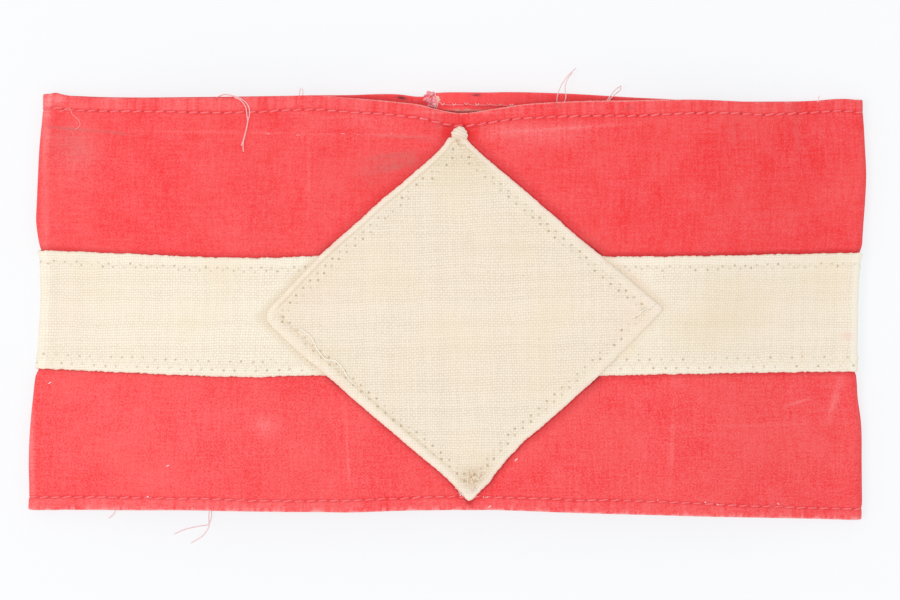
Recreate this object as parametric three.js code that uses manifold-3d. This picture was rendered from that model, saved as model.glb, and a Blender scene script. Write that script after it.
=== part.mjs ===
// A cloth armband lying flat on its back: a red cotton tube with turned hems, a natural
// canvas stripe sewn all the way round it, and a plain canvas diamond sewn on the front.
// Millimetres. +X runs along the band, +Y towards its upper hem, +Z up from the surface
// that it lies on. The origin is the middle of its footprint.
import * as THREE from "three";
import { mergeVertices } from "three/addons/utils/BufferGeometryUtils.js";
import Module from "manifold-3d";

// Cloth thicknesses, and the air kept between layers that are sewn together.
const COTTON = 1.0;
const CANVAS = 1.0;
const GAP = 0.3;
const HALF_COTTON = COTTON / 2;

// The cotton thins towards its edges: from how far in, and to what share of its thickness.
const RIM = { inset: 0.5, share: 0.6 };

// The turned hems lie on the inside of the tube, and so does the seam that closes it.
const HEM = { top: 3.9, bottom: 3.1, extra: 0.3, step: 0.8 };
const SEAM = { from: -3.0, to: 1.6, step: 0.4, extra: 0.5 };
const BACK_EDGE_DROP = 0.3;

// The centre stripe, and how far beside it the cotton takes to sink back to the surface.
const STRIPE_HALF = 14.4;
const STRIPE_END = 99;
const STRIPE_STACK = GAP + CANVAS;
const STRIPE_ROWS = [0, 0.25, 0.5, 0.75, 1];
const SINK = 6;

// The folded sides, and the air inside the tube between them.
const FOLD_RADIUS = 1.6;
const CROWN = 9;
const SHOULDER = 42;
const SWELL_SHOULDER = 12;

// The upper and lower edges of the front and back cloth along the band, and the middle of
// the stripe. The front's upper edge dips where the diamond's corner pulls it down.
const EDGES = [
  { x: -98, top: 51.3, backTop: 51.3, bottom: -49.5, stripe: -0.8 },
  { x: -93, top: 51.2, backTop: 51.2, bottom: -49.4, stripe: -1.0 },
  { x: -80, top: 50.4, backTop: 50.6, bottom: -49.4, stripe: -1.5 },
  { x: -62, top: 50.2, backTop: 50.7, bottom: -49.3, stripe: -2.3 },
  { x: -48, top: 50.4, backTop: 50.9, bottom: -49.6, stripe: -2.7 },
  { x: -30, top: 50.7, backTop: 51.1, bottom: -49.7, stripe: -2.4 },
  { x: -11.5, top: 49.1, backTop: 51.2, bottom: -49.4, stripe: -2.4 },
  { x: -4.5, top: 48.0, backTop: 51.1, bottom: -49.3, stripe: -2.4 },
  { x: 2.5, top: 46.6, backTop: 51.6, bottom: -49.2, stripe: -2.4 },
  { x: 9, top: 47.2, backTop: 51.6, bottom: -49.2, stripe: -2.4 },
  { x: 17.5, top: 48.5, backTop: 51.7, bottom: -49.4, stripe: -2.4 },
  { x: 32, top: 49.4, backTop: 51.3, bottom: -49.9, stripe: -2.4 },
  { x: 55, top: 49.8, backTop: 50.2, bottom: -50.6, stripe: -2.2 },
  { x: 78, top: 49.4, backTop: 49.6, bottom: -51.2, stripe: -1.9 },
  { x: 100, top: 49.9, backTop: 49.9, bottom: -51.9, stripe: -1.5 },
];

// Where the folded sides reach to, from the lower hem to the upper one.
const SIDES = [
  { y: -51.7, left: -101.8, right: 100.4 },
  { y: -44, left: -101.6, right: 100.5 },
  { y: -36, left: -101.6, right: 100.5 },
  { y: -27, left: -101.2, right: 100.2 },
  { y: -21, left: -100.6, right: 99.5 },
  { y: -16, left: -100.4, right: 99.4 },
  { y: -8, left: -100.1, right: 99.4 },
  { y: 0, left: -99.6, right: 99.9 },
  { y: 8, left: -99.5, right: 100.3 },
  { y: 14, left: -99.6, right: 100.8 },
  { y: 20, left: -99.9, right: 101.1 },
  { y: 32, left: -99.4, right: 101.6 },
  { y: 40, left: -98.9, right: 101.2 },
  { y: 51.7, left: -98.1, right: 100.5 },
];

// Soft dents (down) and swells (up) of the front: middle, half lengths, turn and height.
const SWELLS = [
  { x: 2.5, y: 46, long: 9, wide: 4.5, turn: 90, up: -0.7 },
  { x: -11, y: 47, long: 7, wide: 6, turn: 90, up: 0.5 },
  { x: 15, y: 46, long: 7, wide: 6, turn: 90, up: 0.5 },
  { x: -57, y: 24, long: 11, wide: 4, turn: 84, up: -0.35 },
  { x: -49, y: 26, long: 12, wide: 4, turn: 88, up: 0.25 },
  { x: -41, y: 20, long: 9, wide: 3.5, turn: 90, up: -0.35 },
  { x: -33, y: 29, long: 16, wide: 4.5, turn: 90, up: 0.3 },
  { x: -21, y: 36, long: 9, wide: 7, turn: 60, up: -0.3 },
  { x: -80, y: 34, long: 10, wide: 7, turn: 20, up: 0.3 },
  { x: -72, y: -31, long: 14, wide: 5, turn: 82, up: -0.3 },
  { x: -30, y: -26, long: 11, wide: 3.5, turn: 115, up: -0.35 },
  { x: -22, y: -40, long: 10, wide: 6, turn: 80, up: 0.3 },
  { x: 48, y: -22, long: 13, wide: 5, turn: 0, up: -0.4 },
  { x: 62, y: -34, long: 12, wide: 6, turn: 80, up: 0.25 },
  { x: 94, y: -24, long: 8, wide: 2.5, turn: 70, up: 0.35 },
  { x: 82, y: 20, long: 12, wide: 6, turn: 5, up: -0.3 },
  { x: 42, y: 34, long: 12, wide: 6, turn: 70, up: 0.25 },
];

// The diamond's corners before they are blunted, and the profile of its turned edges.
const CORNERS = {
  top: { x: 3.0, y: 43.4 },
  right: { x: 52.8, y: -0.7 },
  bottom: { x: 5.3, y: -47.6 },
  left: { x: -45.4, y: -2.4 },
};
const BLUNT = { left: 1.2, right: 0.9, tip: 0.5 };
const NARROW = 18;
const TURNED = [
  { inset: 0, up: 0.55 },
  { inset: 0.7, up: 1.2 },
  { inset: 3.2, up: 1.15 },
  { inset: 4.1, up: 0.9 },
  { inset: 60, up: 0.9 },
];
const EDGE_INSETS = [0, 1, 4.4, 5.8];
const INNER_SPANS = 8;
const DIAMOND_ROWS = [
  -45.4, -42, -36, -30, -24.5, -22.3, -20.5, -19, -17.6, -16.8, -10, -3.5, -1.3, 0.1, 6,
  12, 12.8, 14.3, 16, 17.5, 23, 29, 35, 39.5, 41.6,
];
const BRIDGE = { from: 0.8, to: 5.5 };
const KNOB = { x: 2.7, y: 42.2, across: 2.1, along: 1.5, half: 0.85 };

// How finely each stretch of the tube is divided.
const FRONT_STEPS = 40;
const BACK_STEPS_EACH_SIDE = 9;
const FOLD_STEPS = 6;

const lerp = THREE.MathUtils.lerp;
const ramp = (from, to, value) => THREE.MathUtils.smoothstep(value, from, to);

// A table's column at some place along its key, on a smooth curve through the rows.
function read(table, key, column, at) {
  const last = table.length - 1;
  const place = THREE.MathUtils.clamp(at, table[0][key], table[last][key]);
  const found = table.findIndex((row, i) => i === last || table[i + 1][key] >= place);
  const i = Math.min(found, last - 1);
  const value = (n) => table[THREE.MathUtils.clamp(n, 0, last)][column];
  const spot = (n) => table[THREE.MathUtils.clamp(n, 0, last)][key];
  const slope = (n) => (value(n + 1) - value(n - 1)) / (spot(n + 1) - spot(n - 1));
  const span = spot(i + 1) - spot(i);
  const t = (place - spot(i)) / span;
  const start = value(i) * (1 + 2 * t) * (1 - t) ** 2 + slope(i) * span * t * (1 - t) ** 2;
  const end = value(i + 1) * t * t * (3 - 2 * t) - slope(i + 1) * span * t * t * (1 - t);
  return start + end;
}

// Lines that run along the band. Each gives y from x, and back is 0 in front and 1 behind.
const topEdge = (x, back) =>
  lerp(read(EDGES, "x", "top", x), read(EDGES, "x", "backTop", x), back);
const bottomEdge = (x, back) => read(EDGES, "x", "bottom", x) + BACK_EDGE_DROP * back;
const stripeMiddle = (x) => read(EDGES, "x", "stripe", x);
const shifted = (line, by) => (x, back) => line(x, back) + by;
const between = (low, high, t) => (x, back) => lerp(low(x, back), high(x, back), t);

// 1 where the stripe lies, falling to 0 beside it.
function underStripe(x, y) {
  return 1 - ramp(STRIPE_HALF + 0.3, STRIPE_HALF + SINK, Math.abs(y - stripeMiddle(x)));
}

// The middle of the cotton's thickness where it lies on the surface or on the stripe.
const backHeight = (x, y) => HALF_COTTON + STRIPE_STACK * underStripe(x, y);

// The x of the folds' centres, so that the outermost cloth touches the side's outline.
function foldCentre(side, y) {
  const outward = side === "left" ? -1 : 1;
  const reach = FOLD_RADIUS + HALF_COTTON + STRIPE_STACK * underStripe(outward * STRIPE_END, y);
  return read(SIDES, "y", side, y) - outward * reach;
}

function swellHeight(x, y) {
  return SWELLS.reduce((sum, swell) => {
    const turn = THREE.MathUtils.degToRad(swell.turn);
    const dx = x - swell.x;
    const dy = y - swell.y;
    const along = (dx * Math.cos(turn) + dy * Math.sin(turn)) / swell.long;
    const across = (dy * Math.cos(turn) - dx * Math.sin(turn)) / swell.wide;
    return sum + swell.up * Math.exp(-(along * along + across * across));
  }, 0);
}

// The middle of the front cotton's thickness.
function frontHeight(x, y) {
  const inside = Math.min(x - foldCentre("left", y), foldCentre("right", y) - x);
  const rise = ramp(0, SHOULDER, inside);
  const folded = backHeight(x, y) + 2 * FOLD_RADIUS;
  return lerp(folded, CROWN, rise) + swellHeight(x, y) * ramp(0, SWELL_SHOULDER, inside);
}

// The stations that the tube's walls are drawn through, once round the tube.
function loopStations() {
  const front = Array.from({ length: FRONT_STEPS + 1 }, (_, i) => ({ run: "front", t: i / FRONT_STEPS }));
  const fold = (run) =>
    Array.from({ length: FOLD_STEPS - 1 }, (_, i) => ({ run, t: (i + 1) / FOLD_STEPS }));
  const width = SIDES[0].right - SIDES[0].left;
  const seamAt = (x) => (x - SIDES[0].left) / width;
  const seam = [SEAM.to + SEAM.step, SEAM.to, SEAM.from, SEAM.from - SEAM.step].map(seamAt);
  const rightOf = (i) => lerp(1, seam[0], i / BACK_STEPS_EACH_SIDE);
  const leftOf = (i) => lerp(seam[3], 0, i / BACK_STEPS_EACH_SIDE);
  const steps = Array.from({ length: BACK_STEPS_EACH_SIDE }, (_, i) => i);
  const back = [
    ...steps.map((i) => ({ run: "back", t: rightOf(i) })),
    { run: "back", t: seam[0] },
    { run: "back", t: seam[1], seam: 1 },
    { run: "back", t: seam[2], seam: 1 },
    { run: "back", t: seam[3] },
    ...steps.map((i) => ({ run: "back", t: leftOf(i + 1) })),
  ];
  return [...front, ...fold("right"), ...back, ...fold("left")];
}

// A point of the cotton's middle surface where a station meets a line, and its way out.
function surface(station, line) {
  const { run, t } = station;
  if (run === "front" || run === "back") {
    const back = run === "back" ? 1 : 0;
    const y = line(lerp(SIDES[0].left, SIDES[0].right, t), back);
    const x = lerp(foldCentre("left", y), foldCentre("right", y), t);
    const z = back ? backHeight(x, y) : frontHeight(x, y);
    return { point: new THREE.Vector3(x, y, z), out: new THREE.Vector3(0, 0, back ? -1 : 1) };
  }
  const outward = run === "left" ? -1 : 1;
  const end = run === "left" ? SIDES[0].left : SIDES[0].right;
  const y = line(end, run === "left" ? 1 - t : t);
  const angle = Math.PI * (run === "left" ? t - 0.5 : 0.5 - t);
  const out = new THREE.Vector3(outward * Math.cos(angle), 0, Math.sin(angle));
  const centre = foldCentre(run, y);
  const height = backHeight(centre, y) + FOLD_RADIUS;
  return { point: new THREE.Vector3(centre, y, height).addScaledVector(out, FOLD_RADIUS), out };
}

// A wall that runs once round the tube. Its section is a closed list of lines and offsets.
function loopWall(stations, section) {
  const positions = [];
  const faces = [];
  const place = (i, j) => (i % stations.length) * section.length + (j % section.length);
  stations.forEach((station, i) => {
    section.forEach(({ line, offset, seam = 0 }, j) => {
      const { point, out } = surface(station, line);
      point.addScaledVector(out, offset - seam * (station.seam ?? 0));
      positions.push(...point.toArray());
      faces.push(place(i, j), place(i + 1, j), place(i + 1, j + 1));
      faces.push(place(i, j), place(i + 1, j + 1), place(i, j + 1));
    });
  });
  return closed(positions, faces);
}

function closed(positions, faces) {
  const geometry = new THREE.BufferGeometry();
  geometry.setAttribute("position", new THREE.Float32BufferAttribute(positions, 3));
  geometry.setIndex(faces);
  geometry.computeVertexNormals();
  return geometry;
}

// The red cotton: both hems turned in, and the seam's allowance standing inside the back.
function bandGeometry(stations) {
  const lowHem = shifted(bottomEdge, HEM.bottom);
  const lowFlat = shifted(bottomEdge, HEM.bottom + HEM.step);
  const highHem = shifted(topEdge, -HEM.top);
  const highFlat = shifted(topEdge, -HEM.top - HEM.step);
  const lowStripe = shifted(stripeMiddle, -STRIPE_HALF);
  const highStripe = shifted(stripeMiddle, STRIPE_HALF);
  const lowSunk = shifted(lowStripe, -SINK);
  const highSunk = shifted(highStripe, SINK);
  const thirds = [1 / 3, 2 / 3];
  const rows = [
    { line: bottomEdge, wall: RIM.share, hem: 1 },
    { line: shifted(bottomEdge, RIM.inset), wall: 1, hem: 1 },
    { line: lowHem, wall: 1, hem: 1 },
    { line: lowFlat, wall: 1, hem: 0 },
    ...thirds.map((t) => ({ line: between(lowFlat, lowSunk, t), wall: 1, hem: 0 })),
    { line: lowSunk, wall: 1, hem: 0 },
    ...thirds.map((t) => ({ line: between(lowSunk, lowStripe, t), wall: 1, hem: 0 })),
    ...STRIPE_ROWS.map((t) => ({ line: between(lowStripe, highStripe, t), wall: 1, hem: 0 })),
    ...thirds.map((t) => ({ line: between(highStripe, highSunk, t), wall: 1, hem: 0 })),
    { line: highSunk, wall: 1, hem: 0 },
    ...thirds.map((t) => ({ line: between(highSunk, highFlat, t), wall: 1, hem: 0 })),
    { line: highFlat, wall: 1, hem: 0 },
    { line: highHem, wall: 1, hem: 1 },
    { line: shifted(topEdge, -RIM.inset), wall: 1, hem: 1 },
    { line: topEdge, wall: RIM.share, hem: 1 },
  ];
  const outside = rows.map(({ line, wall }) => ({ line, offset: wall * HALF_COTTON }));
  const inside = rows.map(({ line, wall, hem }) => ({
    line,
    offset: -wall * HALF_COTTON - hem * wall * HEM.extra,
    seam: wall * SEAM.extra,
  }));
  return loopWall(stations, [...outside, ...inside.reverse()]);
}

// The canvas stripe, on the outside of the cotton.
function stripeGeometry(stations) {
  const low = shifted(stripeMiddle, -STRIPE_HALF);
  const high = shifted(stripeMiddle, STRIPE_HALF);
  const under = HALF_COTTON + GAP;
  const lines = STRIPE_ROWS.map((t) => between(low, high, t));
  const inside = lines.map((line) => ({ line, offset: under }));
  const outside = lines.map((line) => ({ line, offset: under + CANVAS }));
  return loopWall(stations, [...outside, ...inside.reverse()]);
}

// What the diamond lies on: the stripe, and beside it the bare cotton.
function underDiamond(x, y) {
  const beside = Math.abs(y - stripeMiddle(x)) - STRIPE_HALF;
  const onStripe = 1 - ramp(BRIDGE.from, BRIDGE.to, beside);
  return frontHeight(x, y) + HALF_COTTON + STRIPE_STACK * onStripe;
}

// The x where the diamond's left or right outline crosses a height y.
function outline(side, y) {
  const corner = CORNERS[side];
  const tip = y > corner.y ? CORNERS.top : CORNERS.bottom;
  const x = lerp(corner.x, tip.x, (y - corner.y) / (tip.y - corner.y));
  return side === "left" ? Math.max(x, corner.x + BLUNT.left) : Math.min(x, corner.x - BLUNT.right);
}

// How far inside the diamond's outline a point is.
function insideOutline(x, y) {
  const names = ["top", "right", "bottom", "left"];
  const distances = names.map((name, i) => {
    const from = CORNERS[name];
    const to = CORNERS[names[(i + 1) % 4]];
    const length = Math.hypot(to.x - from.x, to.y - from.y);
    return ((to.y - from.y) * (x - from.x) - (to.x - from.x) * (y - from.y)) / -length;
  });
  return Math.max(0, Math.min(...distances));
}

// The diamond as rows of points, each row running between its left and right edges.
function diamondGeometry() {
  const ends = [CORNERS.bottom.y + BLUNT.tip, CORNERS.top.y - BLUNT.tip];
  const rows = [ends[0], ...DIAMOND_ROWS, ends[1]];
  const columns = 2 * EDGE_INSETS.length + INNER_SPANS - 1;
  const across = (y) => {
    const from = outline("left", y);
    const to = outline("right", y);
    const squeeze = Math.min(1, (to - from) / NARROW);
    const insets = EDGE_INSETS.map((inset) => inset * squeeze);
    const [start, end] = [from + insets.at(-1), to - insets.at(-1)];
    const inner = Array.from({ length: INNER_SPANS - 1 }, (_, i) =>
      lerp(start, end, (i + 1) / INNER_SPANS),
    );
    return [...insets.map((i) => from + i), ...inner, ...insets.map((i) => to - i).reverse()];
  };
  const positions = [];
  const faces = [];
  for (const upper of [1, 0])
    for (const y of rows)
      for (const x of across(y)) {
        const up = GAP + upper * read(TURNED, "inset", "up", insideOutline(x, y));
        positions.push(x, y, underDiamond(x, y) + up);
      }
  const place = (upper, row, column) => ((upper ? 0 : rows.length) + row) * columns + column;
  const quad = (a, b, c, d) => faces.push(a, b, c, a, c, d);
  const [top, right] = [rows.length - 1, columns - 1];
  for (let i = 0; i < top; i++)
    for (let j = 0; j < right; j++) {
      quad(place(1, i, j), place(1, i, j + 1), place(1, i + 1, j + 1), place(1, i + 1, j));
      quad(place(0, i, j), place(0, i + 1, j), place(0, i + 1, j + 1), place(0, i, j + 1));
    }
  for (let i = 0; i < top; i++) {
    quad(place(1, i, 0), place(1, i + 1, 0), place(0, i + 1, 0), place(0, i, 0));
    quad(place(1, i + 1, right), place(1, i, right), place(0, i, right), place(0, i + 1, right));
  }
  for (let j = 0; j < right; j++) {
    quad(place(1, 0, j + 1), place(1, 0, j), place(0, 0, j), place(0, 0, j + 1));
    quad(place(1, top, j), place(1, top, j + 1), place(0, top, j + 1), place(0, top, j));
  }
  return closed(positions, faces);
}

// The gathered knob where the diamond's cloth is rolled in at its top corner.
function knobGeometry() {
  const { x, y, across, along, half } = KNOB;
  const geometry = new THREE.SphereGeometry(1, 12, 8);
  geometry.rotateX(Math.PI / 2).scale(across, along, half);
  geometry.translate(x, y, underDiamond(x, y) + GAP + half);
  return geometry;
}

const wasm = await Module();
wasm.setup();

function solid(geometry) {
  const bare = geometry.clone();
  bare.deleteAttribute("normal");
  bare.deleteAttribute("uv");
  const merged = mergeVertices(bare, 1e-4);
  return new wasm.Manifold(
    new wasm.Mesh({
      numProp: 3,
      vertProperties: merged.attributes.position.array,
      triVerts: new Uint32Array(merged.index.array),
    }),
  );
}

function geometryOf(manifold) {
  const { vertProperties, triVerts } = manifold.getMesh();
  return closed(Array.from(vertProperties), Array.from(triVerts));
}

function piece(name, geometry, color, roughness) {
  const material = new THREE.MeshStandardMaterial({ color, roughness, metalness: 0 });
  const mesh = new THREE.Mesh(geometry, material);
  mesh.name = name;
  return mesh;
}

const stations = loopStations();
const diamond = geometryOf(solid(diamondGeometry()).add(solid(knobGeometry())));

const armband = new THREE.Group();
armband.add(
  piece("band", bandGeometry(stations), 0xe8383f, 0.9),
  piece("stripe", stripeGeometry(stations), 0xeee0c6, 0.95),
  piece("diamond_patch", diamond, 0xeadcc4, 0.95),
);

export default armband;
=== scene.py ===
"""Looks of the cloth armband: red cotton tube, canvas stripe and canvas diamond, with their sewing.

Lengths are in millimetres until a mesh is written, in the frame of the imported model.
"""
import math

import bpy
import numpy as np
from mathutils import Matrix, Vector

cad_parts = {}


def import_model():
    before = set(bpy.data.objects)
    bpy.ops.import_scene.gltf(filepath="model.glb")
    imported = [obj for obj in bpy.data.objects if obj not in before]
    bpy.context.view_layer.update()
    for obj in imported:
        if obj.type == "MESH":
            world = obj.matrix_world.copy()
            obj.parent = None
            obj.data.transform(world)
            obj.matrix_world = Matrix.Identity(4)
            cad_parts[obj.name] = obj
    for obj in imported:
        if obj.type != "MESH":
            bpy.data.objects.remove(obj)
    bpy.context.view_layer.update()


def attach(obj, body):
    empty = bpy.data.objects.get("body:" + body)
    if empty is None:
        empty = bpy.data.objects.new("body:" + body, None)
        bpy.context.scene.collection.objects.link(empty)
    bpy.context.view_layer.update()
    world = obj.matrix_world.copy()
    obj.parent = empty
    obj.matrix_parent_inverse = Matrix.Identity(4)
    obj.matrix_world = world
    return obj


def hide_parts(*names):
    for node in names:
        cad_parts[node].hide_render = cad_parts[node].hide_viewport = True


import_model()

MM = 0.001
PATCH_SIDE = 66.5

# Cloth thicknesses, the air between layers that are sewn together, and that under the diamond.
COTTON = 0.55
CANVAS = 0.65
AIR = 0.08
SEATED = 0.03
HALF = COTTON / 2

# The tube: its folded sides, how high its front's middle is and how far in from the sides it gets
# there, and how long its runs round are.
FOLD_RADIUS = 1.6
CROWN = 9.3
SHOULDER = 42
FLAT_RUN = 197.0
FOLD_RUN = math.pi * FOLD_RADIUS
HALF_ROUND = FLAT_RUN + FOLD_RUN
ROUND = 2 * HALF_ROUND

# The back's upper hem stands up behind the front's dip: how high, where along the band, and how far.
LIP_HIGH = 5.2
LIP_X = 8
LIP_REACH = 28

# The stripe's thickness at its turned edges, and how far the cotton takes to come down beside it.
STRIPE_THICK = 1.0
STRIPE_STACK = AIR + STRIPE_THICK
SINK = 6.0

# The cotton's own stitches keep it off the floor.
LOFT = 0.28

# How far apart the places round the tube lie that the cloth is drawn through.
FRONT_STEP = 0.6
BACK_STEP = 1.2
FOLD_STEP = 0.5

# How far apart the upright and the level threads of the weaves lie.
COTTON_WEAVE = (0.36, 0.38)
CANVAS_WEAVE = (0.59, 0.647)

# The hems: the layer that is turned in, where it thins out and ends, and how round the edge is. The
# stitches: their pitch, half length, slant, least and most radius, and the pits between them.
HEM_LAYER = 0.6
HEM_THINS = 4.4
HEM_ENDS = 5.0
BODY_FROM = 5.1
HALF_RIM = (COTTON + HEM_LAYER) / 2
RIM = 0.32
STITCH_PITCH = 2.8
STITCH_HALF = 1.15
STITCH_SLANT = 0.17
STITCH_THICK = (0.18, 0.26)
PIT = 0.27

# The zigzag sewing: its pitch, how far in from the canvas's edge its rows lie, its holes and thread.
STRIPE_PITCH = 2.7
UPPER_ROWS = (2.55, 3.25)
LOWER_ROWS = (1.5, 3.6)
PATCH_PITCH = 2.5
PATCH_ROWS = (2.6, 3.8)
HOLE = 0.31
SEWING_RADIUS = 0.095

# How far apart the turns of thread lie on the diamond's top corner.
WHIPPING_PITCH = 0.85

# How far the cloth coordinates of the tube's inside lie off those of its outside.
INNER_CLOTH = 300

# A distance that is too long to matter.
FAR = 500

# The seam in the back: the cloth starts at this place, goes round, and ends inside its own start.
SEAM_X = 0.4
SEAM_AT = HALF_ROUND + FLAT_RUN / 2 - SEAM_X
LAP = 4.6
SEAM_END = SEAM_AT + ROUND + LAP

# The back's upper edge has a step at the seam, between two places along the band. It is drawn
# no further from the seam than this.
STEP_LEFT = -6.7
STEP_RIGHT = -2.0
STEP_NEAR = 12


def hermite(keys, values, at):
    """A smooth curve through the values at the keys, read anywhere."""
    at = np.clip(at, keys[0], keys[-1])
    i = np.clip(np.searchsorted(keys, at, side="right") - 1, 0, len(keys) - 2)
    slopes = np.gradient(values, keys)
    span = keys[i + 1] - keys[i]
    t = (at - keys[i]) / span
    start = values[i] * (1 + 2 * t) * (1 - t) ** 2 + slopes[i] * span * t * (1 - t) ** 2
    end = values[i + 1] * t * t * (3 - 2 * t) - slopes[i + 1] * span * t * t * (1 - t)
    return start + end


class Table:
    """Rows of numbers with named columns. The first column is the key."""

    def __init__(self, names, *rows):
        columns = np.array(rows, float).T
        self.keys = columns[0]
        self.columns = dict(zip(names.split()[1:], columns[1:]))

    def at(self, name, key):
        return hermite(self.keys, self.columns[name], key)


# The edges of the front and back cloth along the band, and the edges of the stripe.
EDGES = Table(
    "x top back_top bottom",
    (-98, 51.15, 51.2, -49.5),
    (-96.6, 51.4, 51.4, -49.5),
    (-95.3, 51.72, 51.3, -49.5),
    (-93.4, 51.3, 51.2, -49.4),
    (-91.5, 50.95, 51.1, -49.4),
    (-89, 50.7, 51.0, -49.4),
    (-84, 50.4, 50.8, -49.4),
    (-76, 50.3, 50.7, -49.4),
    (-62, 50.2, 50.8, -49.3),
    (-52, 50.2, 50.9, -49.5),
    (-45, 50.5, 51.0, -49.6),
    (-38, 50.7, 51.1, -49.7),
    (-31, 50.8, 51.2, -49.7),
    (-25, 50.3, 51.2, -49.8),
    (-11.5, 49.1, 51.25, -49.4),
    (-6.7, 48.5, 50.7, -49.3),
    (-2, 47.3, 51.55, -49.25),
    (2.5, 46.6, 51.65, -49.2),
    (5.8, 46.7, 51.65, -49.25),
    (9, 47.2, 51.65, -49.2),
    (14.3, 48.0, 51.75, -49.3),
    (17.4, 48.5, 51.75, -49.4),
    (23.4, 49.0, 51.65, -49.65),
    (32, 49.4, 51.35, -49.95),
    (46, 49.6, 50.6, -50.35),
    (52, 49.75, 50.35, -50.5),
    (58, 49.8, 50.0, -50.7),
    (78, 49.3, 49.7, -51.25),
    (88, 49.7, 49.8, -51.55),
    (97, 50.2, 50.1, -51.85),
    (100, 49.9, 50.0, -51.95),
)
STRIPE = Table(
    "x high low",
    (-99, 13.6, -15.2),
    (-85, 13.0, -15.8),
    (-66, 12.15, -16.6),
    (-48, 11.6, -17.05),
    (-38.5, 11.85, -16.9),
    (-31, 12.1, -16.75),
    (36.5, 12.0, -16.75),
    (56.5, 12.0, -16.4),
    (76.5, 12.4, -16.1),
    (100, 12.9, -15.85),
)
# How far in from the edges the hems are sewn.
HEMS = Table(
    "x top bottom",
    (-98, 3.6, 3.2),
    (-85, 3.2, 3.2),
    (-71, 3.2, 3.0),
    (-57, 3.6, 2.8),
    (-48, 3.6, 2.7),
    (-31, 3.5, 2.8),
    (2.5, 3.1, 3.2),
    (32, 3.6, 3.2),
    (46, 3.6, 3.3),
    (60, 3.2, 3.1),
    (69, 2.9, 2.9),
    (76, 3.1, 2.8),
    (88, 2.8, 2.7),
    (100, 3.0, 2.7),
)
# Where the folded cotton reaches to at the sides, without what lies over it.
SIDES = Table(
    "y left right",
    (-52, -101.9, 100.4),
    (-48, -101.8, 100.6),
    (-44, -101.65, 100.55),
    (-38.5, -101.75, 100.5),
    (-28, -101.3, 100.3),
    (-22, -100.7, 99.5),
    (-18, -100.2, 99.2),
    (-16.6, -99.9, 99.0),
    (-15.2, -99.15, 98.45),
    (-13, -98.75, 98.6),
    (-9, -98.65, 98.75),
    (-5.4, -98.5, 98.8),
    (-3.4, -98.3, 98.85),
    (2.4, -98.1, 98.95),
    (8, -98.2, 99.2),
    (11.5, -98.0, 99.3),
    (12.8, -98.3, 99.8),
    (14.3, -98.9, 100.4),
    (17, -99.5, 100.7),
    (20.4, -99.95, 100.95),
    (25, -99.8, 101.3),
    (32, -99.5, 101.6),
    (38.5, -99.15, 101.3),
    (46, -98.45, 100.9),
    (52, -98.2, 100.6),
)
# Soft swells (up) and dents (down) of the front: middle, half lengths, turn and height.
SWELLS = (
    # x, y, long, wide, turn, up
    (2.5, 46, 9, 4.5, 90, -0.9),
    (-8, 45, 8, 4, 65, 0.5),
    (12, 45, 8, 4, 115, 0.5),
    (-57, 24, 11, 4, 84, -0.45),
    (-49, 26, 12, 4, 88, 0.3),
    (-41, 20, 9, 3, 90, -0.45),
    (-33, 29, 16, 3.5, 90, 0.4),
    (-21, 30, 9, 5, 60, -0.4),
    (-80, 34, 10, 7, 20, 0.35),
    (-72, -31, 14, 5, 82, -0.35),
    (-43, -27, 6, 6, 0, 0.35),
    (-30, -24, 9, 3, 118, -0.45),
    (-23, -35, 8, 3, 90, 0.35),
    (-22, -42, 7, 4, 80, 0.3),
    (45, -22, 9, 4, 8, -0.4),
    (54, -31, 11, 3, 88, 0.35),
    (62, -34, 10, 5, 84, -0.2),
    (94, -24, 7, 2, 70, 0.3),
    (82, 20, 13, 6, 5, -0.35),
    (36, 22, 12, 5, 80, -0.3),
    (44, 34, 12, 6, 70, 0.3),
    (70, 38, 12, 5, 0, 0.25),
)


def ramp(start, end, value):
    """Goes smoothly from 0 to 1 while the value goes from start to end."""
    t = np.clip((value - start) / (end - start), 0, 1)
    return t * t * (3 - 2 * t)


def mix(a, b, t):
    return a + (b - a) * t


def bell(offset, width):
    """A soft bump: 1 in its middle, and almost 0 at twice its width."""
    return np.exp(-((offset / width) ** 2))


def noise(x, y, size, seed):
    """Smooth random waves between -1 and 1, about size long."""
    lattice = np.random.default_rng(seed).uniform(-1, 1, (97, 97))
    u, v = np.asarray(x) / size + 300, np.asarray(y) / size + 300
    i, j = np.floor(u).astype(int), np.floor(v).astype(int)
    a, b = ramp(0, 1, u - i), ramp(0, 1, v - j)
    corner = lambda p, q: lattice[(i + p) % 97, (j + q) % 97]
    return mix(mix(corner(0, 0), corner(1, 0), a), mix(corner(0, 1), corner(1, 1), a), b)


def heading(turn):
    """The cosine and sine of an angle in degrees."""
    return math.cos(math.radians(turn)), math.sin(math.radians(turn))


def bumps(rows, x, y):
    """The sum of a table of soft swells at some points."""
    total = np.zeros(np.broadcast(x, y).shape)
    for mid_x, mid_y, long, wide, turn, up in rows:
        c, s = heading(turn)
        dx, dy = x - mid_x, y - mid_y
        total += up * np.exp(-(((dx * c + dy * s) / long) ** 2 + ((dy * c - dx * s) / wide) ** 2))
    return total


def beside_stripe(x, y):
    """How far a point lies outside the stripe, and less than 0 on it."""
    return np.maximum(y - STRIPE.at("high", x), STRIPE.at("low", x) - y)


def back_mid(x, y):
    """The height of the middle of the back cotton."""
    lip = LIP_HIGH * bell(x - LIP_X, LIP_REACH) * ramp(37, 47, y)
    return HALF + mix(STRIPE_STACK, LOFT, ramp(0.1, SINK, beside_stripe(x, y))) + lip


def fold_centre(side, y):
    outward = -1 if side == "left" else 1
    return SIDES.at(side, y) - outward * (FOLD_RADIUS + HALF)


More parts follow.
